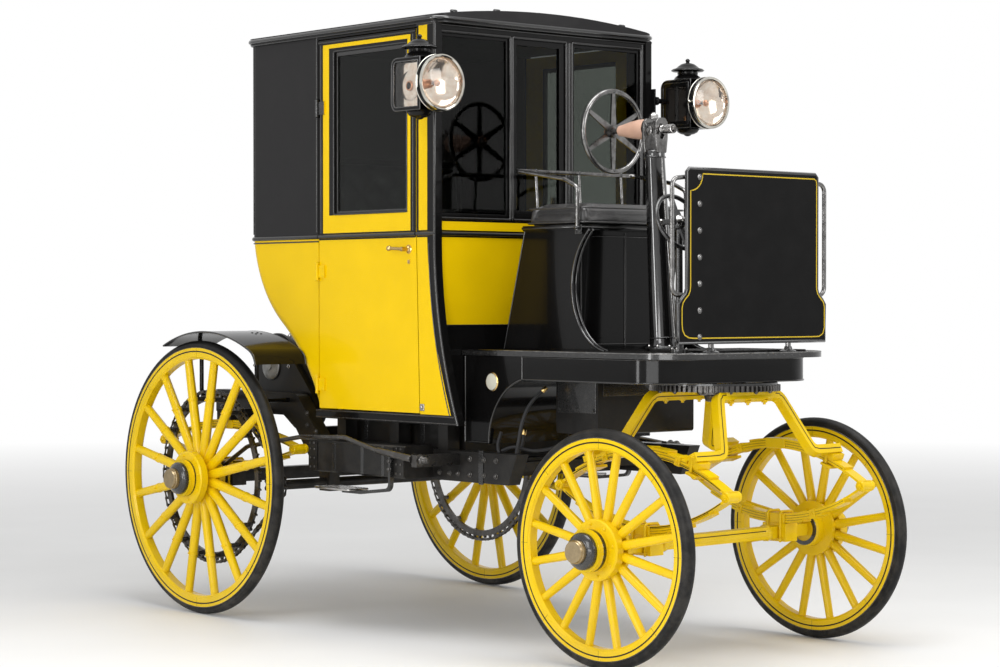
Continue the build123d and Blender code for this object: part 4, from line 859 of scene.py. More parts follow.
def fit_fore_carriage():
    """Lining on the irons and axle, the bolts through the ring and the clips on the springs."""
    lines, bolts, clips = [], [], []
    top_z, foot_z = 941.0, 738.0
    lean = math.atan2(IRON_FOOT_REACH - IRON_TOP_REACH, top_z - foot_z)
    turn = Matrix.Rotation(-lean, 3, "Y")
    drop = (top_z - foot_z) / math.cos(lean)
    line = smooth_path([(0, -395, -drop), (0, -300, -drop), (0, -262, -drop + 4), (0, -240, -drop + 26),
                        (0, -180, -34), (0, -160, -8), (0, -140, 0), (0, 0, 0), (0, 140, 0),
                        (0, 160, -8), (0, 180, -34), (0, 240, -drop + 26), (0, 262, -drop + 4),
                        (0, 300, -drop), (0, 395, -drop)], 5)
    for face in (17.3, -17.3):
        strip = flat_bar([(face, p.y, p.z) for p in line], 3.4, 0.8, AHEAD)
        strip = moved(turned_by(strip, turn), (IRON_TOP_REACH, 0, top_z))
        fore_and_aft = [Vector((-p[0], p[1], p[2])) for p in strip[0]], strip[1]
        lines.append(moved(strip, (WHEELBASE, 0, 0)))
        lines.append(moved(fore_and_aft, (WHEELBASE, 0, 0)))
    for end in (-1, 1):
        for y in (-92, 0, 92):
            place = (WHEELBASE + end * IRON_TOP_REACH, y, 925)
            bolts.append(hex_bolt(place, DOWN, 11, 8, True, 7))
        for mid in (-FRONT_SPRING_Y, FRONT_SPRING_Y):
            x = WHEELBASE + end * IRON_FOOT_REACH
            for y in (mid - 30, mid + 30):
                bolts.append(hex_bolt((x, y, 744), (end * 0.34, 0, 0.94), 9, 7, True, 5))
                clips.append(round_bar([(x, y, 752), (x - end * 10, y, 690)], 5.5, 10))
            x = WHEELBASE + end * 246
            clips.append(turned_by(block((x - 24, x + 24), (mid - 40, mid + 40), (676, 686)),
                                   Matrix.Rotation(end * 0.35, 3, "Y"), (x, 0, 681)))
    make("iron_lining", steered(joined(*lines)), LINE_BLACK, "fore_carriage")
    make("iron_bolts", steered(joined(*bolts)), YELLOW_WHEEL, "fore_carriage")
    make("iron_clips", steered(joined(*clips)), YELLOW_WHEEL, "fore_carriage", soften=1.5)
    bar = turning([(27, -300), (30, -296), (31, -280), (25, -270), (25, 270), (31, 280), (30, 296),
                   (27, 300)], (WHEELBASE, 0, FRONT_R), LEFT, 36)
    make("axle_barrel", steered(bar), YELLOW_WHEEL, "fore_carriage", 50)
    barrel_r, tilt = 25.4, math.radians(20)
    front_x, front_z = WHEELBASE + barrel_r * math.cos(tilt), FRONT_R + barrel_r * math.sin(tilt)
    strips = [flat_bar([(front_x, y, front_z) for y in (-262, 262)], 3, 0.8, (1, 0, 0.36)),
              flat_bar([(WHEELBASE - barrel_r, y, FRONT_R) for y in (-262, 262)], 3, 0.8, BACK)]
    make("axle_lining", steered(joined(*strips)), LINE_BLACK, "fore_carriage")
    nuts = [hex_bolt((WHEELBASE + 205 * math.cos(a), 205 * math.sin(a), 958), DOWN, 8, 6,
                     False, 3) for a in around(12)]
    make("ring_nuts", joined(*nuts), DARK_STEEL, "fore_carriage")
    plate = turning([(66, 0), (66, 10), (40, 16), (34, 34), (24, 38)], (WHEELBASE, 0, 954),
                    DOWN, 32)
    make("king_bolt_plate", plate, DARK_STEEL, "fore_carriage")


# ---------------------------------------------------------------- frame, motor and cables
def fit_frame():
    """Bolts and straps on the beams, the side boxes' plates, and the radius rods' ends."""
    bolts, plates, straps = [], [], []
    for s in (-1, 1):
        face = s * 479
        for x in (-280, -210, 330, 390):
            for dz in (-24, 24):
                z = (858 if x < 0 else 800 - (x - 330) * 1.2) + dz
                bolts.append(hex_bolt((x, face, z), (0, s, 0), 8, 6, True, 3))
        for x in (1180, 1240, 1290, 1360, 1440, 1510):
            for z in (630, 688):
                bolts.append(hex_bolt((x, face, z), (0, s, 0), 8, 6, True, 3))
        straps.append(flat_bar([(1425, s * 480.5, 595), (1425, s * 480.5, 722)], 26, 4, (0, s, 0)))
        box_face = s * 619.9
        for x in (545, 572, 1095, 1122):
            for z in (625, 660, 695, 720):
                bolts.append(hex_bolt((x, box_face + s * 2.5, z), (0, s, 0), 5, 4, False, 0))
        plates += [block((532, 588), (box_face, box_face + s * 3), (610, 728)),
                   block((1084, 1138), (box_face, box_face + s * 3), (610, 728)),
                   block((600, 1072), (box_face, box_face + s * 1.6), (614, 724)),
                   block((527, 531.5), (s * 486, s * 618), (612, 726))]
        for z in (630, 668, 706):
            for y in (500, 560, 606):
                bolts.append(hex_bolt((527, s * y, z), BACK, 5, 4, False, 0))
        for x in (700, 880, 1010):
            straps.append(flat_bar([(x, s * 621.6, 612), (x, s * 621.6, 726)], 18, 2.4, (0, s, 0)))
    for x in (620, 800, 980, 1140):
        straps += [flat_bar([(x, -401, 612), (x, -401, 824)], 24, 3, RIGHT),
                   flat_bar([(x, 401, 612), (x, 401, 824)], 24, 3, LEFT),
                   flat_bar([(x, -401, 599), (x, 401, 599)], 24, 3, DOWN)]
    make("frame_bolts", joined(*bolts), DARK_STEEL)
    make("box_corner_plates", joined(*plates), FRAME_BLACK, soften=0.8)
    make("frame_straps", joined(*straps), IRON_BLACK, soften=0.8)
    rods = []
    for y in (-ROD_Y, ROD_Y):
        thread = []
        for x in range(1284, 1344, 4):
            thread.append(turning([(10.5, 0), (11.6, 1.2), (10.5, 2.4)], (x, y, 689), AHEAD, 14,
                                  False))
        nuts = [hex_bolt((1302, y, 689), AHEAD, 17, 14, True, 2),
                hex_bolt((1266, y, 690.5), (-1, 0, 0.1), 17, 12, True, 2)]
        core = turning([(10, 0), (10, 62), (8, 66)], (1284, y, 689), AHEAD, 14)
        rods.append(joined(*thread, *nuts, core))
    make("rod_ends", joined(*rods), DARK_STEEL, smooth=50)
    sleeves = [turning([(11, 0), (13.5, 6), (13.5, 200), (11, 206)], (1040, y, 713),
                       (0.994, 0, -0.1035), 18) for y in (-ROD_Y, ROD_Y)]
    make("rod_sleeves", joined(*sleeves), DARK_STEEL, smooth=50)


def fit_motor():
    """End bells, terminal cover, brush doors and bolted flanges of the motor."""
    x, z = -15, 1010
    bells, bolts, bands = [], [], []
    for s in (-1, 1):
        bells.append(turning([(150, 258), (152, 262), (146, 276), (116, 296), (112, 300), (70, 302),
                              (66, 310), (46, 316), (44, 344)], (x, 0, z), (0, s, 0), 56,
                             closed=False))
        for a in around(10):
            bolts.append(hex_bolt((x + 131 * math.cos(a), s * 287, z + 131 * math.sin(a)),
                                  (0, s, 0.0), 7, 6, True, 3))
        for a in around(12)[:7]:
            bolts.append(hex_bolt((x + 122 * math.cos(a), s * 411.8, z + 122 * math.sin(a)),
                                  (0, s, 0), 6, 5, True, 2))
        bells.append(turning([(58, 411), (60, 413), (60, 418), (50, 424), (20, 426), (18, 430)],
                             (x, 0, z), (0, s, 0), 40))
        bells.append(turning([(48, 411), (50, 414), (44, 421), (14, 423)], (190, 0, 842),
                             (0, s, 0), 36))
    for y in (-130, -70, 70, 130):
        bands.append(bead_ring((x, y, z), LEFT, 158.6, 2.2, 72, 8))
    make("motor_bells", joined(*bells), GREY_CASTING, smooth=30)
    make("motor_bolts", joined(*bolts), STEEL)
    make("motor_bands", joined(*bands), IRON_BLACK, smooth=60)
    doors, screws = [], []
    for a in (35, 90, 145):
        t = math.radians(a)
        n = Vector((math.cos(t), 0, math.sin(t)))
        side = Vector((-math.sin(t), 0, math.cos(t)))
        for y in (-100, 100):
            c = Vector((x, y, z)) + n * 158
            doors.append(flat_bar([c + side * -34, c + side * 34], 78, 5, n))
            for u in (-26, 26):
                for v in (-30, 30):
                    screws.append(dome(c + side * u + Vector((0, v, 0)) + n * 2.5, n, 4, 2.4, 10))
    make("motor_doors", joined(*doors), IRON_BLACK, soften=2)
    make("motor_screws", joined(*screws), STEEL)
    box = block((x - 62, x + 62), (-52, 52), (z + 152, z + 186))
    make("terminal_box", box, FRAME_BLACK, soften=6, steps=3)
    studs = []
    for dy in (-36, -12, 12, 36):
        studs.append(turning([(9, 0), (9, 5), (6, 9), (6, 14)], (x + 62, dy, z + 168), AHEAD, 18))
        studs.append(hex_bolt((x + 76, dy, z + 168), AHEAD, 5, 4, False, 3))
    make("terminal_studs", joined(*studs), BRASS)
    leads = []
    for dy in (-36, -12, 12, 36):
        leads.append(round_bar(smooth_path([(x + 80, dy, z + 168), (x + 130, dy * 1.2, z + 160),
                                            (x + 185, dy * 1.6, z + 90), (x + 205, dy * 2.2, z - 20),
                                            (x + 260, dy * 2.6, z - 130), (390, dy * 2.8, 815),
                                            (470, dy * 2.9, 790), (502, dy * 3, 785)], 8), 6.5, 10))
    make("motor_leads", joined(*leads), CABLE_COVER, smooth=60)


def fit_cables():
    """Three short controller cables beside the boot, their brass ends, and the box's covers."""
    loops = [smooth_path([(1500, -330, 800), (1512, -352, 742), (1496, -372, 705), (1470, -392, 690),
                          (1440, -400, 706), (1424, -396, 742), (1432, -386, 790)], 10),
             smooth_path([(1592, -300, 960), (1560, -352, 900), (1545, -380, 830), (1538, -392, 760),
                          (1530, -400, 700), (1516, -405, 640)], 10),
             smooth_path([(1640, -200, 786), (1610, -260, 740), (1560, -330, 722), (1500, -380, 735),
                          (1450, -398, 720)], 10)]
    make("controller_cables", joined(*[round_bar(p, 6.5, 10) for p in loops]), CABLE_COVER, smooth=60)
    ends = [turning([(8, 0), (9.5, 3), (9.5, 20), (7, 24)], p[0], p[1] - p[0], 16) for p in loops]
    make("cable_ends", joined(*ends), BRASS)
    knobs = []
    for x in (1640, 1700, 1760):
        knobs.append(turning([(11, 0), (12, 3), (8, 7), (7, 13), (11, 18), (10, 23), (3, 25)],
                             (x, -180, 788), DOWN, 20))
    make("controller_knobs", joined(*knobs), DARK_STEEL)
    trims, screws = [], []
    for s in (-1, 1):
        trims.append(block((1600, 1810), (s * 250, s * 253), (866, 1060)))
        for x in (1612, 1705, 1798):
            for zz in (878, 1048):
                screws.append(hex_bolt((x, s * 253, zz), (0, s, 0), 5, 4, True, 0))
    trims.append(block((1818, 1821), (-226, 226), (930, 1058)))
    make("controller_covers", joined(*trims), IRON_BLACK, soften=1.5)
    make("controller_screws", joined(*screws), IRON_BLACK)


def fit_mudguards():
    """Rolled wire edges of each guard and the rivets through it into its stays."""
    r = REAR_R
    beads, rivets = [], []
    tail = Vector((-0.384 * r, 0, r + math.sqrt(580 ** 2 - (0.384 * r) ** 2)))
    crest = Vector((0.16 * r, 0, r + 1.071 * r))
    nose = Vector((0.72 * r, 0, r + 0.946 * r))
    tip = Vector((0.80 * r, 0, r + 0.84 * r))
    run = arc_through(tail, crest, nose, 26)
    run += [nose.lerp(tip, k) + Vector((1, 0, 1)) * 9 * math.sin(math.pi * k)
            for k in (0.25, 0.5, 0.75, 1.0)]
    for s in (-1, 1):
        for y in (573.5, 820.5):
            beads.append(round_bar([(p.x, s * y, p.z - 2.5) for p in run], 3.4, 8))
        for x in (-213, -187, 187, 213):
            for y in (627, 653):
                top = height_on(tail, crest, nose, x)
                rivets.append(dome((x, s * y, top), UP, 5, 2.6, 12))
    make("guard_beads", joined(*beads), BLACK_BEAD, smooth=60)
    make("guard_rivets", joined(*rivets), BLACK_PAINT)


def circle_of(a, b, c):
    """Centre and radius of the circle in X and Z through three points."""
    d = 2 * (a.x * (b.z - c.z) + b.x * (c.z - a.z) + c.x * (a.z - b.z))
    aa, bb, cc = (p.x ** 2 + p.z ** 2 for p in (a, b, c))
    ux = (aa * (b.z - c.z) + bb * (c.z - a.z) + cc * (a.z - b.z)) / d
    uz = (aa * (c.x - b.x) + bb * (a.x - c.x) + cc * (b.x - a.x)) / d
    return ux, uz, math.hypot(a.x - ux, a.z - uz)


def height_on(a, b, c, x):
    """Height at x of the upper half of the circle through three points."""
    ux, uz, r = circle_of(a, b, c)
    return uz + math.sqrt(r * r - (x - ux) ** 2)


def arc_through(a, b, c, steps):
    """Points along the arc from a over b to c, in X and Z."""
    ux, uz, r = circle_of(a, b, c)
    t0, t1, tm = (math.atan2(p.z - uz, p.x - ux) for p in (a, c, b))
    tm += 2 * math.pi * round((t0 - tm) / (2 * math.pi))
    t1 += 2 * math.pi * round((tm - t1) / (2 * math.pi))
    return [Vector((ux + r * math.cos(t0 + (t1 - t0) * i / steps), 0,
                    uz + r * math.sin(t0 + (t1 - t0) * i / steps))) for i in range(steps + 1)]


def fit_steps():
    """Raised studs and a rolled lip on each tread, and the bolts of its iron."""
    studs, lips, bolts = [], [], []
    for s in (-1, 1):
        for i in range(12):
            for j in range(5):
                x = 664 + i * 18.2 + (9 if j % 2 else 0)
                y = s * (601 + j * 17)
                if x < 872:
                    studs.append(dome((x, y, 557), UP, 3.4, 1.4, 10))
        edge = edge_loop((654, 874), (s * 586, s * 684), 552, 12, "z")
        lips.append(round_bar(edge, 4.6, 8, closed=True))
        for z in (640, 672):
            bolts.append(hex_bolt((1068, s * 636, z), (0, s, 0), 8, 6, True, 3))
    make("tread_lips", joined(*lips), STEEL, smooth=60)
    make("tread_studs", joined(*studs), STEEL)
    make("step_bolts", joined(*bolts), DARK_STEEL)


def rounded_loop(corners, r, steps=4):
    """A closed run of corners, each turned on a radius."""
    pts = [Vector(c) for c in corners]
    out = []
    n = len(pts)
    for i, p in enumerate(pts):
        a, b = (pts[i - 1] - p).normalized(), (pts[(i + 1) % n] - p).normalized()
        start, end = p + a * r, p + b * r
        for k in range(steps + 1):
            t = k / steps
            out.append(start * (1 - t) ** 2 + p * 2 * t * (1 - t) + end * t * t)
    return out


# ---------------------------------------------------------------- bodywork
def ring_board(outer, inner, axis, low, high):
    """A flat frame between two outlines that have the same number of corners."""
    n = len(outer)
    pts = [p for loop in (outer, inner) for level in (low, high) for p in stood_up(axis, loop, level)]
    faces = []
    for i in range(n):
        k = (i + 1) % n
        faces += [(i, k, n + k, n + i), (2 * n + i, 2 * n + k, 3 * n + k, 3 * n + i),
                  (i, k, 2 * n + k, 2 * n + i), (n + i, n + k, 3 * n + k, 3 * n + i)]
    return pts, faces


def inset(outline, by):
    """A closed outline drawn again at an even distance inside itself."""
    n = len(outline)
    pts = [Vector(p) for p in outline]
    area = sum(pts[i].x * pts[(i + 1) % n].y - pts[(i + 1) % n].x * pts[i].y for i in range(n))
    hand = 1 if area > 0 else -1
    out = []
    for i in range(n):
        a, p, b = pts[i - 1], pts[i], pts[(i + 1) % n]
        d1, d2 = (p - a).normalized(), (b - p).normalized()
        n1, n2 = Vector((-d1.y, d1.x)) * hand, Vector((-d2.y, d2.x)) * hand
        mid = (n1 + n2).normalized()
        out.append(tuple(p + mid * by / max(mid.dot(n1), 0.3)))
    return out


def window(a0, a1, b0, b1):
    """The four corners of a flat rectangle."""
    return [(a0, b0), (a1, b0), (a1, b1), (a0, b1)]


def edge_loop(x, y, z, r, fixed):
    """A rounded rectangle as a closed path; fixed names the axis that stays put."""
    (a, b), level = {"y": ((x, z), y), "x": ((y, z), x), "z": ((x, y), z)}[fixed]
    return rounded_loop(stood_up(fixed, window(*a, *b), level), r)


# The line in which the front pillar sweeps forward to the floor.
PILLAR_EDGE = arc_through(Vector((1262, 0, 1500)), Vector((1303, 0, 1130)), Vector((1399, 0, 816)),
                          18)


def fit_doors():
    """Black borders, mouldings, window frames, handles, hinges and linings of both doors."""
    for side, s in (("right", -1), ("left", 1)):
        body = f"door_{side}"
        outer, trim, inner = s * CAB_SIDE, s * (CAB_SIDE + 0.5), s * 541
        skin = (s * (CAB_SIDE - 0.1), s * (CAB_SIDE + 0.7))
        strips = [block(x, skin, z) for x, z in (((528.5, 553), (1551, 2318)),
                                                 ((1110, 1143), (1551, 2318)),
                                                 ((553, 1110), (2299, 2318)),
                                                 ((528.5, 1143), (1524, 1551)))]
        make(f"door_borders_{side}", joined(*strips), BLACK_PAINT, body)
        lines = [half_round([(528.5, trim, z), (1143, trim, z)], wide, (0, s, 0))
                 for z, wide in ((1537.5, 17), (2309, 9))]
        lines += [half_round([(x, trim, 1551), (x, trim, 2299)], 7, (0, s, 0)) for x in (541, 1126)]
        make(f"door_mouldings_{side}", joined(*lines), BLACK_BEAD, body, 50)
        bead = round_bar(edge_loop((624, 1087), outer, (1624, 2270), 10, "y"), 3.4, 8, closed=True)
        make(f"window_beads_{side}", bead, BLACK_BEAD, body, 60)
        surround = ring_board(window(594, 1091, 1621.5, 2283), window(628, 1083, 1628, 2266), "y",
                              skin[0], s * 565.8)
        reveal = ring_board(window(626.8, 1084.2, 1626.8, 2267.2), window(629, 1082, 1629, 2265), "y",
                            inner, s * 565.4)
        make(f"window_surround_{side}", joined(surround, reveal), BLACK_PAINT, body)
        sash = ring_board(window(627.2, 1083.8, 1627.2, 2266.8), window(641, 1076, 1637, 2249), "y",
                          inner, s * 559)
        make(f"window_sash_{side}", sash, BLACK_BEAD, body, soften=2)
        plate = turning([(17, 0), (17, 2), (14, 3.4), (12, 9), (9.5, 12)], (1100, outer, 1480),
                        (0, s, 0), 40)
        key = turning([(8, 0), (8, 2), (5, 3)], (1100, outer, 1432), (0, s, 0), 24)
        make(f"handle_plate_{side}", joined(plate, key), BRASS, body)
        knob = turning([(6.5, 0), (9.5, 4), (11, 10), (9, 16), (3, 19)], (1030, s * 599, 1483.5),
                       (-1, 0, 0.05), 24)
        make(f"handle_knob_{side}", knob, BRASS, body, 50)
        for which, heights, finish in (("low", (DOOR_LOW + 94, BELT_Z - 145), YELLOW_WHEEL),
                                       ("high", (2050,), IRON_BLACK)):
            screws = []
            for z in heights:
                for x in (536, 556):
                    for dz in (-16, 16):
                        screws.append(dome((x, s * 571.4, z + dz), (0, s, 0), 4, 1.6, 12))
                for way in (-1, 1):
                    screws.append(turning([(8.5, 0), (8.5, 4), (5, 7), (1, 8)],
                                          (523, s * 573, z + way * 30), (0, 0, way), 20))
            if which == "high":
                screws += [block((523, 566.6), (skin[0], s * 571.5), (2024.5, 2075.5)),
                           turning([(7.4, -30.3), (7.4, 30.3)], (523, s * 573, 2050), UP, 20)]
            make(f"hinge_screws_{which}_{side}", joined(*screws), finish, body)
        lining = block((560, 1110), (s * 533.4, s * 535.2), (900, 1510))
        make(f"door_lining_{side}", lining, CAB_HIDE, body, soften=1)
        welt = round_bar(edge_loop((566, 1104), s * 533.5, (906, 1504), 16, "y"), 3, 8, closed=True)
        make(f"door_welt_{side}", welt, CAB_HIDE, body, 60)
        strap = flat_bar(smooth_path([(855, s * 534, 1630), (855, s * 528, 1612), (855, s * 528, 1560),
                                      (855, s * 529, 1330)], 5), 46, 3, (0, s, 0))
        make(f"window_strap_{side}", strap, CAB_HIDE, body, 50)


def fit_body_sides():
    """Yellow facings on the front pillars, and the mouldings along the cab's sides."""
    face = CAB_SIDE
    skin = (-face - 0.7, -face + 0.1)
    low = [(1149, 1524), (1211, 1524), (1213, 1480), (1217, 1430), (1223, 1377), (1240, 1252),
           (1260, 1138), (1288, 1040), (1318, 948), (1352, 853), (1169, 853)]
    yellow = [board(low, "y", skin[1], skin[0]), block((1160, 1211), skin, (1551, 2334))]
    make("pillar_facings", pair(joined(*yellow)), YELLOW_PAINT)
    edge = [(1255.5, -face, 2334), (1255.5, -face, 1510)] + [(p.x - 7, -face, p.z) for p in PILLAR_EDGE]
    beads = [round_bar(edge, 6.5, 10),
             round_bar([(p[0] - 34, -face, p[2]) for p in edge[2:-1]], 3.2, 8),
             half_round([(1149, -face, 1537.5), (1258, -face, 1537.5)], 17, RIGHT),
             half_round([(1149, -face, 2331), (1262, -face, 2331)], 10, RIGHT),
             round_bar([(512, -face, 1556), (512, -face, 2332)], 4, 8),
             round_bar([(70, -560.5, 1556), (70, -560.5, 2332)], 3.2, 8)]
    run = [(523, -face, 1537.5), (110, -face, 1537.5), (91, -face, 1537.5)]
    for i in range(1, 9):
        a = math.pi / 2 * i / 8
        run.append((91 - 46 * math.sin(a), -face + 46 - 46 * math.cos(a), 1537.5))
    run += [(p[0], -p[1], p[2]) for p in reversed(run)]
    rear_belt = round_bar(run, 9, 12)
    rear_low = round_bar([(p[0], p[1], 1519.5) for p in run], 3.2, 8)
    make("rear_belt", joined(rear_belt, rear_low), BLACK_BEAD, smooth=60)
    dark = [block((1149, 1262), skin, (1524, 1551)), block((1149, 1160), skin, (1551, 2334)),
            block((512, 522.8), (-face - 0.6, -face + 0.1), (1551, 2334))]
    make("side_borders", pair(joined(*dark)), BLACK_PAINT)
    make("side_mouldings", pair(joined(*beads)), BLACK_BEAD, smooth=60)
    sill = half_round([(507, -face, 846.5), (1383, -face, 846.5)], 6.5, RIGHT)
    foot = half_round([(507, -face, 821), (1394, -face, 821)], 5, RIGHT)
    make("sill_lines", pair(joined(sill, foot)), DARK_STEEL, smooth=60)
    catch = joined(block((1172, 1196), (-face - 5, -face), (866, 892)),
                   turning([(7, 0), (7, 5), (4, 8)], (1184, -face - 5, 879), RIGHT, 20))
    make("sill_catches", pair(catch), STEEL, soften=1.5)


def fit_roof():
    """A rolled bead round the roof edge, the gutter under it, five tie knobs and two welts."""
    loop = edge_loop((33, 1274), (-577, 577), 2350, 60, "z")
    make("roof_bead", round_bar(loop, 9, 12, closed=True), POLISHED_BLACK, smooth=60)
    gutter = edge_loop((38, 1270), (-572, 572), 2336, 56, "z")
    make("roof_gutter", round_bar(gutter, 5, 8, closed=True), BLACK_BEAD, smooth=60)
    knobs = []
    for y in (-474, -259, -43, 180, 404):
        top = 2403 - 41 * (y / 579) ** 2
        knobs.append(turning([(9, -3), (9, 3), (6, 6)], (1258, y, top - 3), UP, 16))
        knobs.append(turning([(3, -15), (5.5, -14), (6.5, -9), (6.5, 9), (5.5, 14), (3, 15)],
                             (1258, y, min(top + 4, 2397.2)), LEFT, 16))
    make("roof_knobs", joined(*knobs), IRON_BLACK, smooth=50)
    welts = [round_bar(smooth_path([(x, -560, 2361.8), (x, -280, 2391.6), (x, 0, 2402),
                                    (x, 280, 2391.6), (x, 560, 2361.8)], 6), 2.6, 6)
             for x in (430, 830)]
    make("roof_welts", joined(*welts), ROOF_HIDE, smooth=60)


def fit_front_wall():
    """Beads and sashes of the three front panes, the yellow panel and the rails round them."""
    panes = ((-535, -194), (-169, 98), (141, 507))
    z0, z1 = 1603, 2296
    beads = [round_bar(edge_loop(1255, (y0 - 7, y1 + 7), (z0 - 7, z1 + 7), 9, "x"), 5.5, 10,
                       closed=True) for y0, y1 in panes]
    make("pane_beads", joined(*beads), BLACK_BEAD, smooth=60)

    def sash(pane, right, left, foot, head, depth):
        y0, y1 = pane
        return ring_board(window(y0 + 0.4, y1 - 0.4, z0 + 0.4, z1 - 0.4),
                          window(y0 + right, y1 - left, z0 + foot, z1 - head), "x", *depth)
    sashes = [sash(panes[1], 17, 25, 30, 22, (1229, 1236.6)),
              sash(panes[1], 17, 25, 30, 22, (1243.4, 1251)),
              sash(panes[0], 10, 10, 12, 12, (1243.4, 1250)),
              sash(panes[2], 10, 10, 12, 12, (1243.4, 1250))]
    make("front_sashes", joined(*sashes), BLACK_PAINT, soften=1.5)
    yellow = joined(block((1254.9, 1255.7), (-534, 534), (1192, 1524)),
                    block((1254.9, 1255.7), (-534, 534), (1551, 1584)))
    make("front_panel", yellow, YELLOW_PAINT)
    rails = [half_round([(WALL_FRONT, -534, z), (WALL_FRONT, 534, z)], wide, AHEAD)
             for z, wide in ((1537.5, 17), (1190, 6), (2326, 8))]
    rails += [half_round([(WALL_FRONT, y, low), (WALL_FRONT, y, high)], wide, AHEAD)
              for y, low, high, wide in ((-181.5, 1600, 2300, 6), (119.5, 1600, 2300, 12),
                                         (521, 1584, 2320, 7))]
    make("front_mouldings", joined(*rails), BLACK_BEAD, smooth=60)
    grips = [block((1224, 1229), (y - 12, y + 12), (1640, 1690)) for y in (-140, 60)]
    make("sash_lifts", joined(*grips), BRASS, soften=2)


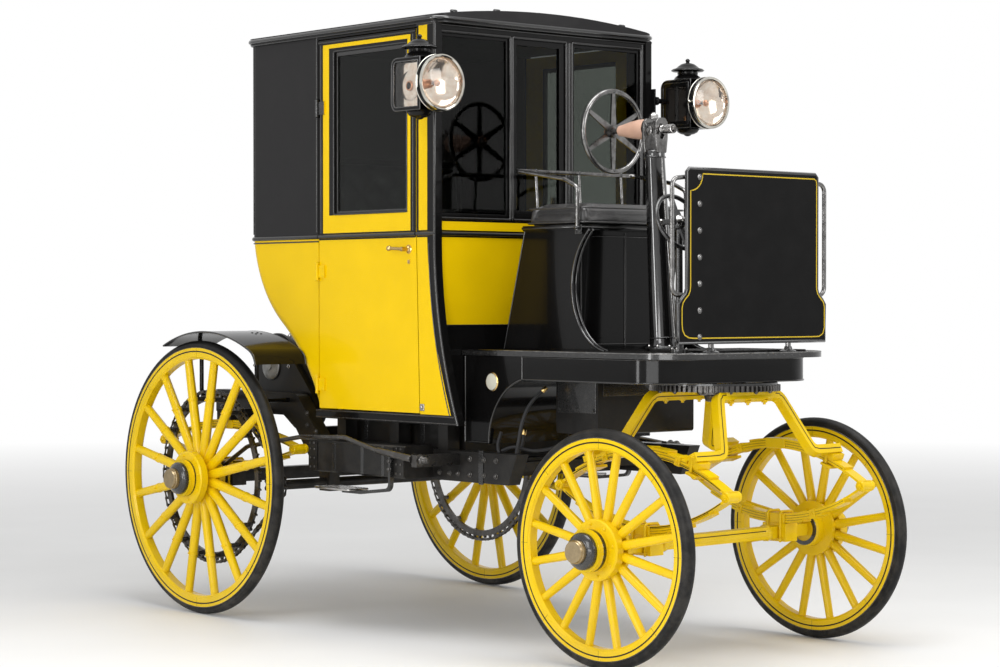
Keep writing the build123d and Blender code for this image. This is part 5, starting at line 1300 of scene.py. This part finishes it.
# ---------------------------------------------------------------- lamps
def fit_lamps():
    """Hollow carriage lamps with a silvered bowl, side lights, vents and a domed front glass; vent and
    dish holes are painted shade.
    """
    y, z, sides = LAMP_Y, LAMP_Z, LAMP_SIDES
    back, front = 1238, 1412

    def rounded_case(by):
        """The case seen from the side, drawn in by a distance: round behind, square in front."""
        r = max(34 - by, 6)
        b, f, lo, hi = back + by, front - by, z - 100 + by, z + 100 - by

        def corner(cx, cz, start):
            turns = [math.radians(start + t) for t in range(0, 91, 15)]
            return [(cx + r * math.cos(t), cz + r * math.sin(t)) for t in turns]
        return corner(b + r, lo + r, 180) + [(f, lo), (f, hi)] + corner(b + r, hi - r, 90)

    outer, inner = rounded_case(0), rounded_case(3)
    shell = ring_board(outer, inner, "y", *sides)
    side_window = rounded_case(17)
    plates = [ring_board(outer, side_window, "y", sides[0], sides[0] + 3),
              ring_board(inner, rounded_case(30), "y", sides[1] - 3, sides[1])]
    face = ring_board(window(*sides, z - 97, z + 97), window(y - 54, y + 54, z - 60, z + 60), "x",
                      front - 3, front)
    horn = turning([(60, front - 3), (68, front), (71, front + 3), (92, 1440), (104, 1440),
                    (104, 1452), (101, 1454), (101, 1461), (99, 1462), (88, 1438), (60, front - 3)],
                   (0, y, z), AHEAD, 64, closed=False)
    foot = block((1210, 1282), (-573, -565.2), (2023, 2143))
    arm = turning([(10, 0), (10, 76)], (1278, -646, 2095), LEFT, 20)
    collar = turning([(10, 0), (17, 2), (17, 9), (12, 12)], (1278, -586, 2095), LEFT, 24)
    cases = make("lamp_cases", pair(joined(shell, *plates, face, foot)), BLACK_PAINT, soften=1)
    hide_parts("lamps")
    make("lamp_horns", pair(joined(horn, arm, collar)), BLACK_PAINT, smooth=40)
    bezel = ring_turning([(99, 1461), (103, 1461), (105, 1466), (103.5, 1471), (99, 1472.5), (95, 1470),
                          (95, 1463)], (0, y, z), AHEAD, 96)
    hoop = bead_ring((1441, y, z), AHEAD, 103.5, 2.4, 80, 8)
    make("lamp_bezels", pair(joined(bezel, hoop)), NICKEL, smooth=50)
    bowl = turning([(95, 1460), (94, 1453), (87, 1443), (72, 1433), (52, 1425), (28, 1420), (8, 1418.5),
                    (8, 1417), (29, 1418.5), (54, 1423.5), (74, 1431.5), (89, 1442), (95.4, 1453)],
                   (0, y, z), AHEAD, 64, closed=False)
    flame = turning([(0.5, 1424), (7, 1426), (13, 1434), (13, 1440), (7, 1447), (0.5, 1449)],
                    (0, y, z), AHEAD, 32)
    make("lamp_flame_glasses", pair(flame), COPPER, smooth=60)
    make("lamp_bowls", pair(bowl), SILVERED, smooth=60)
    lens = [(0.3, 1482), (30, 1480.5), (60, 1476), (84, 1468), (95, 1463), (95, 1460), (84, 1464.5),
            (60, 1472.5), (30, 1477), (0.3, 1478.5)]
    lens = turning(lens, (0, y, z), AHEAD, 64, closed=False)
    glasses = make("lamp_glasses", pair(lens), LAMP_GLASS, smooth=60)
    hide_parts("lamp_lenses")
    side_glass = board(rounded_case(14), "y", sides[0] + 3.2, sides[0] + 6)
    make("lamp_side_glasses", pair(side_glass), LAMP_GLASS)
    beads = [round_bar([(a, sides[0] - 0.5, b) for a, b in rounded_case(15)], 2.8, 8, closed=True),
             round_bar([(a, sides[0], b) for a, b in rounded_case(3)], 2.4, 8, closed=True),
             round_bar([(a, sides[1], b) for a, b in rounded_case(3)], 2.4, 8, closed=True),
             round_bar([(a, sides[1] + 0.5, b) for a, b in rounded_case(15)], 2.4, 8, closed=True)]
    make("lamp_side_beads", pair(joined(*beads)), POLISHED_BLACK, smooth=60)
    back_plate = board(rounded_case(14), "y", -736, -733)
    port = (1322, -736, 2078)
    dish = turning([(14, 1), (18, 3), (34, 5), (48, 3.5), (56, 1)], port, RIGHT, 48, closed=False)
    make("lamp_linings", pair(joined(back_plate, dish)), SILVERED, smooth=50)
    eye = ring_turning([(13, 2), (18, 2), (18, 6), (13, 6)], port, RIGHT, 40)
    # The hole in each side dish is drawn as a shallow black disc: painted shade standing in for the
    # dark inside the hole.
    pit = turning([(0.5, 1.6), (9, 1.6), (14, 1.2), (14, 0.4)], port, RIGHT, 30)
    make("lamp_side_hole_shades", pair(pit), BLACK_PAINT, smooth=50)
    burner = turning([(16, -86), (18, -80), (18, -50), (12, -44), (8, -30), (8, 0), (5, 6)],
                     (1338, y, z), UP, 24)
    make("lamp_burners", pair(joined(eye, burner)), COPPER, smooth=50)
    mantle = turning([(5, 0), (9, 8), (10, 20), (8, 34), (2, 44)], (1338, y, 2086), UP, 20)
    make("lamp_mantles", pair(mantle), ENAMEL, smooth=60)
    tiers = turning([(30, 2176), (57, 2179), (58, 2184), (50, 2196), (43, 2200), (41, 2203), (41, 2214),
                     (44, 2216), (62, 2217), (66, 2220), (66, 2223), (62, 2227), (48, 2231), (40, 2238),
                     (28, 2247), (16, 2251), (8, 2253), (7, 2257), (10, 2262), (6, 2268), (0.5, 2270)],
                    (1335, y, 0), UP, 56, closed=False)
    cup = turning([(46, 1987), (47, 1981), (40, 1970), (27, 1963), (16, 1961), (12, 1957), (4, 1954)],
                  (1335, y, 0), UP, 40)
    make("lamp_chimneys", pair(joined(tiers, cup)), BLACK_PAINT, smooth=40)
    rims = [bead_ring((1335, y, 2221.5), UP, 65.5, 2.2, 64, 8),
            bead_ring((1335, y, 2182), UP, 57.5, 2.2, 48, 8)]
    make("lamp_chimney_rims", pair(joined(*rims)), BLACK_BEAD, smooth=60)
    # The chimney's vent holes are drawn as small matte black dots: painted shade standing in for the
    # dark inside each hole.
    vents = []
    for a in around(14):
        n = Vector((math.cos(a), math.sin(a), 0))
        vents.append(turning([(3.4, -1), (3.4, 0.6)], Vector((1335, y, 2208.5)) + n * 41, n, 10))
    screws = [dome((1246 + dx, -573, z + dz), RIGHT, 6, 3, 14)
              for dx in (-26, 26) for dz in (-48, 48)]
    make("lamp_vent_shade_dots", pair(joined(*vents)), LINE_BLACK)
    make("lamp_foot_screws", pair(joined(*screws)), IRON_BLACK)
    hinge = joined(turning([(4.5, -22), (4.5, 22)], (1450, y - 104, z), UP, 14),
                   turning([(7, 0), (7, 8), (4, 11)], (1452, y + 104, z), LEFT, 16))
    make("lamp_hinges", pair(hinge), NICKEL)


# ---------------------------------------------------------------- driver's end
def dash_outline():
    right = [(381, 1135), (381, 1271), (367, 1289), (345, 1309), (339, 1327), (339, 1735), (327, 1747)]
    return right + [(-a, b) for a, b in reversed(right)]


def fit_dash():
    """Yellow lines and the rolled edge of the dash, its rivets, and the brackets behind it."""
    half = [(300, 1152), (330, 1154), (350, 1163), (361, 1180), (364, 1202), (364, 1258), (359, 1276),
            (347, 1290), (332, 1303), (324, 1318), (322, 1336)]
    for i in range(9):
        t = math.pi / 2 * i / 8
        half.append((322 - 60 * math.sin(t), 1728 - 60 * math.cos(t)))
    plain = [(300, 1152), (345, 1153), (366, 1163), (374, 1185), (374, 1262), (368, 1279), (350, 1295),
             (337, 1310), (332, 1324), (331, 1342), (331, 1712), (328, 1722), (318, 1728)]
    for name, x, way, far in (("front", 2368.3, 1, plain), ("back", 2358.7, -1, half)):
        line = far + [(-a, b) for a, b in reversed(half)]
        strip = flat_bar([(x, a, b) for a, b in line], 4.2, 0.8, (way, 0, 0), closed=True)
        make(f"dash_line_{name}", strip, LINE_YELLOW)
    edge = [Vector((2363.5, a, b)) for a, b in inset(dash_outline(), 1.5)]
    make("dash_binding", round_bar(edge, 6.2, 10, closed=True), POLISHED_BLACK, smooth=60)
    rivets = []
    for i in range(7):
        z = 1156 + i * 93.3
        rivets.append(turning([(11, 0), (11, 1.2), (8, 1.8)], (2368, -277, z), AHEAD, 20))
        rivets.append(dome((2369.2, -277, z), AHEAD, 8, 4.6, 18))
    make("dash_rivets", joined(*rivets), WORN_IRON)
    clips = []
    for s in (-1, 1):
        for z in (1180, 1340, 1500, 1650):
            clips.append(block((2342, 2359), (s * 200 - 15, s * 200 + 15), (z - 12, z + 12)))
            clips.append(hex_bolt((2342, s * 200, z), BACK, 7, 5, True, 0))
        clips.append(turning([(30, 0), (30, 4), (24, 7), (16, 9), (13, 20)],
                             (2348.7, s * 200, PLATFORM_Z), UP, 28))
        for dx, dy in ((-18, 0), (18, 0), (0, -18), (0, 18)):
            place = (2348.7 + dx, s * 200 + dy, PLATFORM_Z + 5)
            clips.append(hex_bolt(place, UP, 4, 3, False, 0))
    make("dash_brackets", joined(*clips), IRON_BLACK, soften=1)


def platform_edge(half, front, r, z, rear):
    """The edge of a board that is square behind and has two round corners in front."""
    pts = [(rear, -half, z)]
    for i in range(13):
        a = math.pi / 2 * i / 12
        pts.append((front - r + r * math.sin(a), -half + r - r * math.cos(a), z))
    return pts + [(p[0], -p[1], p[2]) for p in reversed(pts)]


def fit_platform():
    """Iron strip, lip, screws, mat and board joints of the footboard, and the valance's beads."""
    edge = platform_edge(433, 2396, 173, 1087, 1258)
    make("footboard_strip", flat_bar(edge, 2.2, 19, UP), IRON_BLACK, smooth=50)
    lip = platform_edge(432, 2395, 172, 1097, 1258)
    make("footboard_lip", round_bar(lip, 2.8, 8), WORN_IRON, smooth=60)
    screws = [dome((x, s * 434, 1088), (0, s, 0), 3.4, 1.5, 10)
              for x in range(1290, 2230, 40) for s in (-1, 1)]
    screws += [dome((2397, y, 1088), AHEAD, 3.4, 1.5, 10) for y in range(-210, 211, 42)]
    make("footboard_screws", joined(*screws), IRON_BLACK)
    ribs = []
    for i in range(52):
        y = -144 + i * 9.2
        ribs.append(block((1993, 2313), (y - 2.2, y + 2.2), (1102.8, 1105)))
    ribs.append(ring_board(window(1989, 2317, -149, 329), window(1996, 2310, -142, 322), "z",
                           1102.8, 1105.4))
    make("footboard_ribs", joined(*ribs), MAT_RUBBER)
    joints = [block((1262, 2230), (y - 0.9, y + 0.9), (1097.9, 1098.5))
              for y in (-345, -258, -172, -86, 0, 86, 172, 258, 345)]
    make("footboard_joints", joined(*joints), LINE_BLACK)
    beads = [round_bar(platform_edge(421, 2313, 161, z, 1592), r, 8)
             for z, r in ((991.5, 3.6), (1074, 2.6))]
    make("valance_beads", joined(*beads), BLACK_BEAD, smooth=60)


def fit_boot():
    """Beads on the boot's sides, and the blank enamel disc in its brass rim."""
    face = 420
    arc = arc_through(Vector((1590, 0, 988)), Vector((1443, 0, 882)), Vector((1403, 0, 745)), 14)
    beads = []
    for s in (-1, 1):
        beads.append(round_bar([(p.x - 4, s * face, p.z + 4) for p in arc], 5, 8))
        beads.append(round_bar([(1262, s * face, 748), (1262, s * face, 1074)], 5, 8))
        beads.append(round_bar([(1590, s * face, 990), (1590, s * face, 1076)], 4.5, 8))
        beads.append(round_bar([(1262, s * face, 749), (1403, s * face, 749)], 4, 8))
    make("boot_beads", joined(*beads), BLACK_BEAD, smooth=60)
    rim = turning([(35, 0), (36, 3), (33, 6), (31.5, 6)], (1420, -face, 979), RIGHT, 48,
                  closed=False)
    make("disc_rim", rim, BRASS, smooth=50)
    disc = turning([(31.8, 0.5), (31.5, 4), (24, 5.6), (0.3, 6.4)], (1420, -face, 979), RIGHT, 48)
    make("enamel_disc", disc, ENAMEL, smooth=60)


def fit_seat():
    """Beads along the seat's curved sides, riser and board, and the feet of its rail."""
    knee = Vector((1732, 0, 1195))
    edge = arc_through(Vector((1786, 0, 1546)), Vector((1694, 0, 1323)), knee, 12)
    edge += arc_through(knee, Vector((1786, 0, 1135)), Vector((1870, 0, 1098)), 6)[1:]
    beads = []
    for y in (-264, -244):
        beads.append(round_bar([(p.x - 1, y, p.z) for p in edge], 5, 8))
        beads.append(round_bar([(1428, y, 1546), (1309, y, 1100)], 3.2, 8))
    make("seat_side_beads", pair(joined(*beads)), POLISHED_BLACK, smooth=60)
    panel = half_round([(1701, 0, 1104), (1701, 0, 1540)], 8, AHEAD)
    frame_lines = round_bar(edge_loop(1700, (-225, 225), (1120, 1525), 12, "x"), 3, 8, closed=True)
    make("seat_riser_beads", joined(panel, frame_lines), BLACK_BEAD, smooth=60)
    trim = round_bar([(1428, -276, 1556), (1750, -276, 1556), (1751.5, -270, 1556), (1751.5, 270, 1556),
                      (1750, 276, 1556), (1428, 276, 1556)], 5.5, 8)
    make("seat_board_bead", trim, BLACK_BEAD, smooth=60)
    brackets = []
    for s in (-1, 1):
        brackets.append(block((1724, 1760), (s * 275.2, s * 279), (1530, 1564)))
        for x in (1732, 1752):
            brackets.append(hex_bolt((x, s * 279, 1538), (0, s, 0), 4.5, 3, False, 0))
        brackets.append(turning([(9, 0), (13, 3), (13, 9), (9, 12)], (1742, s * 283.3, 1548),
                                UP, 20))
    posts = (-201, 22, 245)
    for y in posts:
        brackets.append(turning([(18, 0), (18, 3), (11, 6), (8.5, 16)], (1433.7, y, 1566.5),
                                UP, 20))
    make("seat_rail_feet", joined(*brackets), IRON_BLACK, soften=0.8)
    collars = [bead_ring((1418, y, 1776), LEFT, 7.5, 3.2, 20, 8) for y in posts]
    make("seat_rail_collars", joined(*collars), IRON_BLACK, smooth=60)


def fit_steering():
    """Leaning pillar with its yoke, the handwheel's sleeve and hub, and the brake wheel's boss."""
    z, head, foot = 1926, 1860, 1908
    lean = Vector((head - foot, 0, 1834 - PLATFORM_Z))
    column = turning([(56, 14), (54, 22), (50.5, 30), (49.5, 44), (37, 716), (38.5, 722),
                      (38.5, 742), (30, 750)], (foot, 0, PLATFORM_Z), lean, 56)
    flange = turning([(64, 0), (66, 2), (66, 13), (62, 16), (52, 18)], (foot, 0, PLATFORM_Z),
                     UP, 56)
    pillar = make("steering_pillar", joined(column, flange), POLISHED_BLACK, smooth=50)
    side = [(-24, -92), (24, -92), (31, -40), (31, 22), (16, 38), (-16, 38), (-31, 22), (-31, -40)]
    hole = [(-6, -40), (6, -40), (14, -22), (14, 6), (11, 14), (-11, 14), (-14, 6), (-14, -22)]
    cheeks = [ring_board([(a, z + b) for a, b in side], [(a, z + b) for a, b in hole], "x", x, x + 13)
              for x in (head - 38, head + 26)]
    core = board([(a * 0.86, z + b * 0.94) for a, b in side], "x", head - 26, head + 27)
    make("steering_yoke", joined(*cheeks, core), WORN_IRON, soften=2.5)
    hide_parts("steering_column")
    sleeve = turning([(13, 1672), (20, 1676), (24, 1700), (32, 1740), (37, 1780), (37, 1806),
                      (33, 1820)], (0, 0, z), AHEAD, 40, closed=False)
    make("handwheel_sleeve", sleeve, SLEEVE_COPPER, smooth=50)
    nut = [turning([(17, 1962), (17.5, 1964), (17.5, 1975), (14, 1979)], (head - 6, 0, 0),
                   UP, 6),
           turning([(8, 1978), (8, 1984), (5, 1986)], (head - 6, 0, 0), UP, 16)]
    make("yoke_nut", joined(*nut), STEEL)
    webs = []
    for s in (-1, 1):
        y = s * 27.4
        for a, b in ((-30, 30), (30, -30)):
            webs.append(flat_bar([(head + a, y, 1880), (head + b, y, 1952)], 10, 5, (0, s, 0)))
        webs.append(turning([(17, 0), (17, 4.5), (11, 7)], (head, y, 1917), (0, s, 0), 28))
        webs.append(hex_bolt((head, y + s * 6, 1917), (0, s, 0), 9, 7, False, 3))
    make("yoke_webs", joined(*webs), WORN_IRON, soften=0.8)
    coil = []
    for i in range(145):
        a = 2 * math.pi * i / 16
        coil.append((head + 40 + i * 0.42, 15.5 * math.cos(a), 1920 + 15.5 * math.sin(a)))
    stud = turning([(11, 30), (11, 104), (8, 108)], (head, 0, 1920), AHEAD, 20)
    make("worm_spring", round_bar(coil, 2.2, 6), STEEL, smooth=60)
    make("worm_stud", stud, DARK_STEEL, smooth=50)
    stay = [round_bar([(1892, 0, 1842), (1975, 0, PLATFORM_Z)], 4.5, 10),
            turning([(14, 0), (14, 3), (7, 6), (5, 14)], (1975, 0, PLATFORM_Z), UP, 20)]
    make("column_rod", joined(*stay), WORN_IRON, smooth=60)

    def up_column(t):
        return Vector((foot, 0, PLATFORM_Z)) + lean.normalized() * t
    bands = [bead_ring(up_column(46), lean, 50.4, 3, 56, 8),
             bead_ring(up_column(720), lean, 38.6, 3, 48, 8),
             bead_ring((foot, 0, PLATFORM_Z + 9), UP, 66, 3, 56, 8)]
    make("column_bands", joined(*bands), IRON_BLACK, smooth=60)
    bolts = [hex_bolt((foot + 58 * math.cos(a), 58 * math.sin(a), PLATFORM_Z + 15), UP, 5.5, 5,
                      False, 3) for a in around(8, 0.5)]
    make("column_bolts", joined(*bolts), STEEL)
    hub = [bead_ring((1617, 0, z), AHEAD, 21, 3.4, 40, 8),
           hex_bolt((1604, 0, z), BACK, 13, 8, False, 6)]
    for a in around(6, 0.5):
        place = (1617, 17.1 * math.sin(a), z + 17.1 * math.cos(a))
        hub.append(hex_bolt(place, BACK, 3, 2, False, 0))
    make("handwheel_hub", joined(*hub), COPPER, "handwheel", 50)
    sockets = []
    for a in around(6):
        n = Vector((0, math.sin(a), math.cos(a)))
        sockets.append(turning([(9.6, -2), (10.5, 0), (10.5, 5), (9.6, 7)],
                               Vector((1634, 0, z)) + n * 148, n, 12, False))
    make("handwheel_spoke_sockets", joined(*sockets), IRON_BLACK, "handwheel", 60)
    x, y = 2200, -210
    top = Vector((x, y, 1563))
    tilt = Matrix.Rotation(math.radians(65), 3, "Y")
    way = tilt @ Vector(UP)
    boss = [turning([(23, 0), (24, 3), (17, 8), (9, 12), (9, 18), (1, 20)], top + way * 10, way, 32)]
    for a in around(4):
        n = tilt @ Vector((math.cos(a), math.sin(a), 0))
        boss.append(turning([(8.2, -3), (10.6, 0), (10.6, 4), (8.2, 8)], top + n * 92, n, 12, False))
    boss.append(bead_ring((x, y, 1150), UP, 15.6, 2.8, 32, 8))
    for a in (0.5, 2.07, 3.64, 5.21):
        place = (x + 26 * math.cos(a), y + 26 * math.sin(a), 1110)
        boss.append(hex_bolt(place, UP, 4.5, 4, False, 2))
    make("brake_wheel_boss", joined(*boss), STEEL, smooth=50)


# ---------------------------------------------------------------- trim inside the cab
def fit_lining():
    """Cloth on the ceiling, back and sides, hide on the front, and the ribs of the floor mat."""
    ceiling = block((78, 1222), (-533, 533), (2328, 2337))
    make("head_lining", ceiling, LINING_CLOTH, soften=3)
    back = block((75.4, 79), (-518, 518), (1890, 2326))
    sides = joined(*[block((92, 521), y, (1390, 2326)) for y in ((-534.8, -531), (531, 534.8))])
    make("cab_back_lining", back, LINING_CLOTH, soften=1)
    make("cab_side_linings", sides, LINING_CLOTH, soften=1)
    loops = [edge_loop((96, 517), y, (1394, 2322), 20, "y") for y in (-530.5, 530.5)]
    loops.append(edge_loop(79.5, (-514, 514), (1894, 2322), 20, "x"))
    welts = [round_bar(loop, 3.4, 8, closed=True) for loop in loops]
    make("cab_lining_welts", joined(*welts), CAB_HIDE, smooth=60)
    ribs = []
    for i in range(103):
        y = -512 + i * 10.04
        ribs.append(block((642, 1206), (y - 2.2, y + 2.2), (854.8, 857)))
    make("cab_mat_ribs", joined(*ribs), MAT_RUBBER)
    inner = block((1221.6, 1224.8), (-528, 528), (880, 1560))
    make("front_lining", inner, CAB_HIDE, soften=1)


def tufted(name, corner, across, along, out, size, rows, cols, deep, finish, body, thick):
    """A buttoned pad: a grid lifted into pillows between its buttons, closed at the back."""
    corner, across, along, out = Vector(corner), Vector(across), Vector(along), Vector(out)
    wide, high = size
    nu, nv = cols * 8, rows * 8
    pts, faces = [], []
    for j in range(nv + 1):
        for i in range(nu + 1):
            u, v = i / nu, j / nv
            a, b = u * cols, v * rows
            crease = math.sqrt(abs(math.sin(math.pi * (a + b)) * math.sin(math.pi * (a - b))) + 0.0004)
            rim = min(min(u, 1 - u) * wide, min(v, 1 - v) * high)
            edge = min(1.0, rim / 26 + 0.02) ** 0.5
            rise = thick * (0.55 + 0.45 * edge) - deep + deep * (0.25 + 0.75 * crease) * edge
            pts.append(corner + across * (u * wide) + along * (v * high) + out * rise)
    for j in range(nv):
        for i in range(nu):
            k = j * (nu + 1) + i
            faces.append((k, k + 1, k + nu + 2, k + nu + 1))
    rim = (list(range(nu + 1)) + [j * (nu + 1) + nu for j in range(1, nv + 1)]
           + [nv * (nu + 1) + i for i in range(nu - 1, -1, -1)]
           + [j * (nu + 1) for j in range(nv - 1, 0, -1)])
    base = len(pts)
    for k in rim:
        p = pts[k]
        rel = p - corner
        pts.append(corner + across * rel.dot(across) + along * rel.dot(along))
    n = len(rim)
    for i in range(n):
        k = (i + 1) % n
        faces.append((rim[i], rim[k], base + k, base + i))
    faces.append(tuple(base + i for i in reversed(range(n))))
    piece = make(name, (pts, faces), finish, body, 80)
    buttons = []
    for j in range(2 * rows + 1):
        for i in range(2 * cols + 1):
            if (i + j) % 2 or i in (0, 2 * cols) or j in (0, 2 * rows):
                continue
            u, v = i / (2 * cols), j / (2 * rows)
            place = corner + across * (u * wide) + along * (v * high) + out * (thick - deep * 0.80)
            buttons.append(dome(place, out, 7, 4, 12))
    make(name + "_buttons", joined(*buttons), finish, body, 60)
    return piece


def fit_cushions():
    """The buttoned passenger seat and squab."""
    seat = tufted("cab_seat_cushion", (243, -466, 1216), LEFT, AHEAD, UP,
                  (932, 384), 3, 7, 20, CAB_HIDE, "chassis", 112)
    lean = Vector((-73, 0, 552)).normalized()
    out = Vector((lean.z, 0, -lean.x))
    back = tufted("cab_seat_squab", Vector((236, -466, 1334)) - out * 70, LEFT, lean, out,
                  (932, 540), 4, 7, 20, CAB_HIDE, "chassis", 70)
    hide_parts("passenger_cushions")
    piping = round_bar(edge_loop((246, 624), (-463, 463), 1316, 24, "z"), 4, 8, closed=True)
    make("cab_seat_piping", piping, CAB_HIDE, smooth=60)


def pillow(name, low, high, round_edge, finish, body):
    """A stuffed cushion: remeshed, blown up by cloth pressure, and held to its space."""
    bm = bmesh.new()
    bmesh.ops.create_cube(bm, size=1.0)
    mesh = bpy.data.meshes.new(name)
    lo, hi = Vector(to_part(low)), Vector(to_part(high))
    for v in bm.verts:
        v.co = (lo + hi) / 2 + v.co * (hi - lo)
    bmesh.ops.bevel(bm, geom=bm.edges[:], offset=round_edge / 1000, segments=4, affect="EDGES",
                    profile=0.5)
    bm.to_mesh(mesh)
    bm.free()
    piece = bpy.data.objects.new(name, mesh)
    bpy.context.collection.objects.link(piece)
    remesh = piece.modifiers.new("even weave", "REMESH")
    remesh.mode = "VOXEL"
    remesh.voxel_size = 0.006
    bake_modifiers(piece)
    inflate(piece, lo.z)
    grow = piece.modifiers.new("fine", "SUBSURF")
    grow.levels = grow.render_levels = 1
    bake_modifiers(piece)
    piece.data.materials.clear()
    piece.data.materials.append(finish)
    piece.data.shade_smooth()
    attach(piece, body)
    return piece


def bake_modifiers(piece):
    """Gives the piece the mesh that its modifiers make, and clears them."""
    seen = piece.evaluated_get(bpy.context.evaluated_depsgraph_get())
    shaped = bpy.data.meshes.new_from_object(seen)
    piece.modifiers.clear()
    old = piece.data
    piece.data = shaped
    bpy.data.meshes.remove(old)


def inflate(piece, base_z, frames=20, most=0.014):
    """Blows a cushion up by cloth pressure, its base held and no point moved more than most."""
    rest = [v.co.copy() for v in piece.data.vertices]
    base = piece.vertex_groups.new(name="glued base")
    base.add([i for i, p in enumerate(rest) if p.z < base_z + 0.012], 1.0, "REPLACE")
    cloth = piece.modifiers.new("stuffing", "CLOTH")
    cloth.settings.use_pressure = True
    cloth.settings.uniform_pressure_force = 4.0
    cloth.settings.vertex_group_mass = "glued base"
    cloth.settings.effector_weights.gravity = 0.0
    cloth.settings.quality = 4
    cloth.settings.tension_stiffness = 25
    cloth.settings.compression_stiffness = 25
    cloth.point_cache.frame_start = 1
    cloth.point_cache.frame_end = frames
    for step in range(1, frames + 1):
        bpy.context.scene.frame_set(step)
    shaped = piece.evaluated_get(bpy.context.evaluated_depsgraph_get())
    blown = [v.co.copy() for v in shaped.data.vertices]
    piece.modifiers.clear()
    for v, a, b in zip(piece.data.vertices, rest, blown):
        move = b - a
        if move.length > most:
            move = move.normalized() * most
        v.co = a + move
    bpy.context.scene.frame_set(1)


def fit_driver_cushion():
    """The driver's stuffed cushion and the piping round its two seams."""
    piece = pillow("driver_cushion_pad", (1446, -266, 1568), (1756, 266, 1634), 22, SEAT_HIDE,
                   "chassis")
    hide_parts("driver_cushion")
    lines = []
    for z, out in ((1629, 0), (1575, 4)):
        loop = edge_loop((1446 - out, 1756 + out), (-266 - out, 266 + out), z, 26, "z")
        lines.append(round_bar(loop, 3.6, 8, closed=True))
    make("driver_cushion_piping", joined(*lines), SEAT_HIDE, smooth=60)


fit_wheels()
fit_chains()
fit_springs()
fit_fore_carriage()
fit_frame()
fit_motor()
fit_cables()
fit_mudguards()
fit_steps()
fit_doors()
fit_body_sides()
fit_roof()
fit_front_wall()
fit_lamps()
fit_dash()
fit_platform()
fit_boot()
fit_seat()
fit_steering()
fit_lining()
fit_cushions()
fit_driver_cushion()


# ---------------------------------------------------------------- floor, light and camera
def set_stage():
    """A pale floor that fades to white with distance, for the camera and through glass."""
    bpy.ops.mesh.primitive_plane_add(size=60, location=(0, 0, 0))
    floor = bpy.context.object
    floor.name = "studio_floor"
    finish, tree, shader = new_finish("pale studio floor", Roughness=0.55)
    place = add(tree, "ShaderNodeTexCoord").outputs["Object"]
    mottle = noise_at(tree, place, 1.3, 3.0)
    patches = spread(tree, mottle, 0.3, 0.7)
    tree.links.new(blend_colours(tree, patches, (0.8, 0.8, 0.795), (0.83, 0.83, 0.825)),
                   shader.inputs["Base Color"])
    path = add(tree, "ShaderNodeLightPath")
    reach = add(tree, "ShaderNodeVectorMath", operation="LENGTH")
    tree.links.new(place, reach.inputs[0])
    far = spread(tree, reach.outputs["Value"], 3.0, 13.0)
    far = sums(tree, "MULTIPLY", far, sums(tree, "MAXIMUM", path.outputs["Is Camera Ray"],
                                           path.outputs["Is Transmission Ray"]))
    white, fade = add(tree, "ShaderNodeEmission"), add(tree, "ShaderNodeMixShader")
    tree.links.new(far, fade.inputs[0])
    tree.links.new(shader.outputs[0], fade.inputs[1])
    tree.links.new(white.outputs[0], fade.inputs[2])
    tree.links.new(fade.outputs[0], tree.nodes["Material Output"].inputs["Surface"])
    floor.data.materials.append(finish)


def set_world():
    """A soft light from all round, seen as white by the camera, through glass and in gloss."""
    world = bpy.data.worlds.new("pale studio")
    bpy.context.scene.world = world
    world.use_nodes = True
    tree = world.node_tree
    back = tree.nodes["Background"]
    path = add(tree, "ShaderNodeLightPath")
    seen = sums(tree, "MAXIMUM", path.outputs["Is Camera Ray"], path.outputs["Is Transmission Ray"])
    glossy = sums(tree, "MULTIPLY", path.outputs["Is Glossy Ray"], 0.6)
    seen = sums(tree, "MAXIMUM", seen, glossy)
    tree.links.new(spread(tree, seen, 0.0, 1.0, 0.5, 1.0), back.inputs["Strength"])
    back.inputs["Color"].default_value = (1, 1, 1, 1)


def lamp(name, place, aim, power, size, size_y):
    light = bpy.data.lights.new(name, "AREA")
    light.energy = power
    light.shape = "RECTANGLE"
    light.size = size
    light.size_y = size_y
    thing = bpy.data.objects.new(name, light)
    bpy.context.collection.objects.link(thing)
    thing.location = place
    thing.visible_camera = False
    thing.rotation_euler = (Vector(aim) - Vector(place)).to_track_quat("-Z", "Y").to_euler()


def set_lights():
    lamp("roof light", (1.5, -0.5, 6.0), (0, 0, 0.6), 250, 5.0, 3.0)
    lamp("side light", (2.6, -6.5, 3.6), (0.1, 0, 1.1), 120, 2.4, 3.4)
    lamp("tall side light", (0.1, -5.2, 1.4), (1.9, 0, 1.4), 40, 0.6, 2.0)
    lamp("front light", (6.5, 1.8, 3.4), (0.4, 0, 1.0), 120, 2.6, 3.0)
    lamp("low fill", (3.6, -5.2, 0.7), (0.4, 0, 0.7), 40, 3.0, 0.8)


def set_camera():
    camera_data = bpy.data.cameras.new("view")
    camera = bpy.data.objects.new("view", camera_data)
    bpy.context.collection.objects.link(camera)
    camera.location = (7.3407, -6.3794, 1.2834)
    yaw, pitch = math.radians(139.117), math.radians(-0.843)
    level = math.cos(pitch)
    ahead = Vector((math.cos(yaw) * level, math.sin(yaw) * level, math.sin(pitch)))
    camera.rotation_euler = ahead.to_track_quat("-Z", "Y").to_euler()
    camera_data.lens, camera_data.sensor_width = 87.75, 36
    camera_data.shift_x, camera_data.shift_y = -0.0044, 0.0031
    camera_data.clip_end = 200
    bpy.context.scene.camera = camera


set_stage()
set_world()
set_lights()
set_camera()
bpy.context.scene.view_settings.view_transform = "Standard"
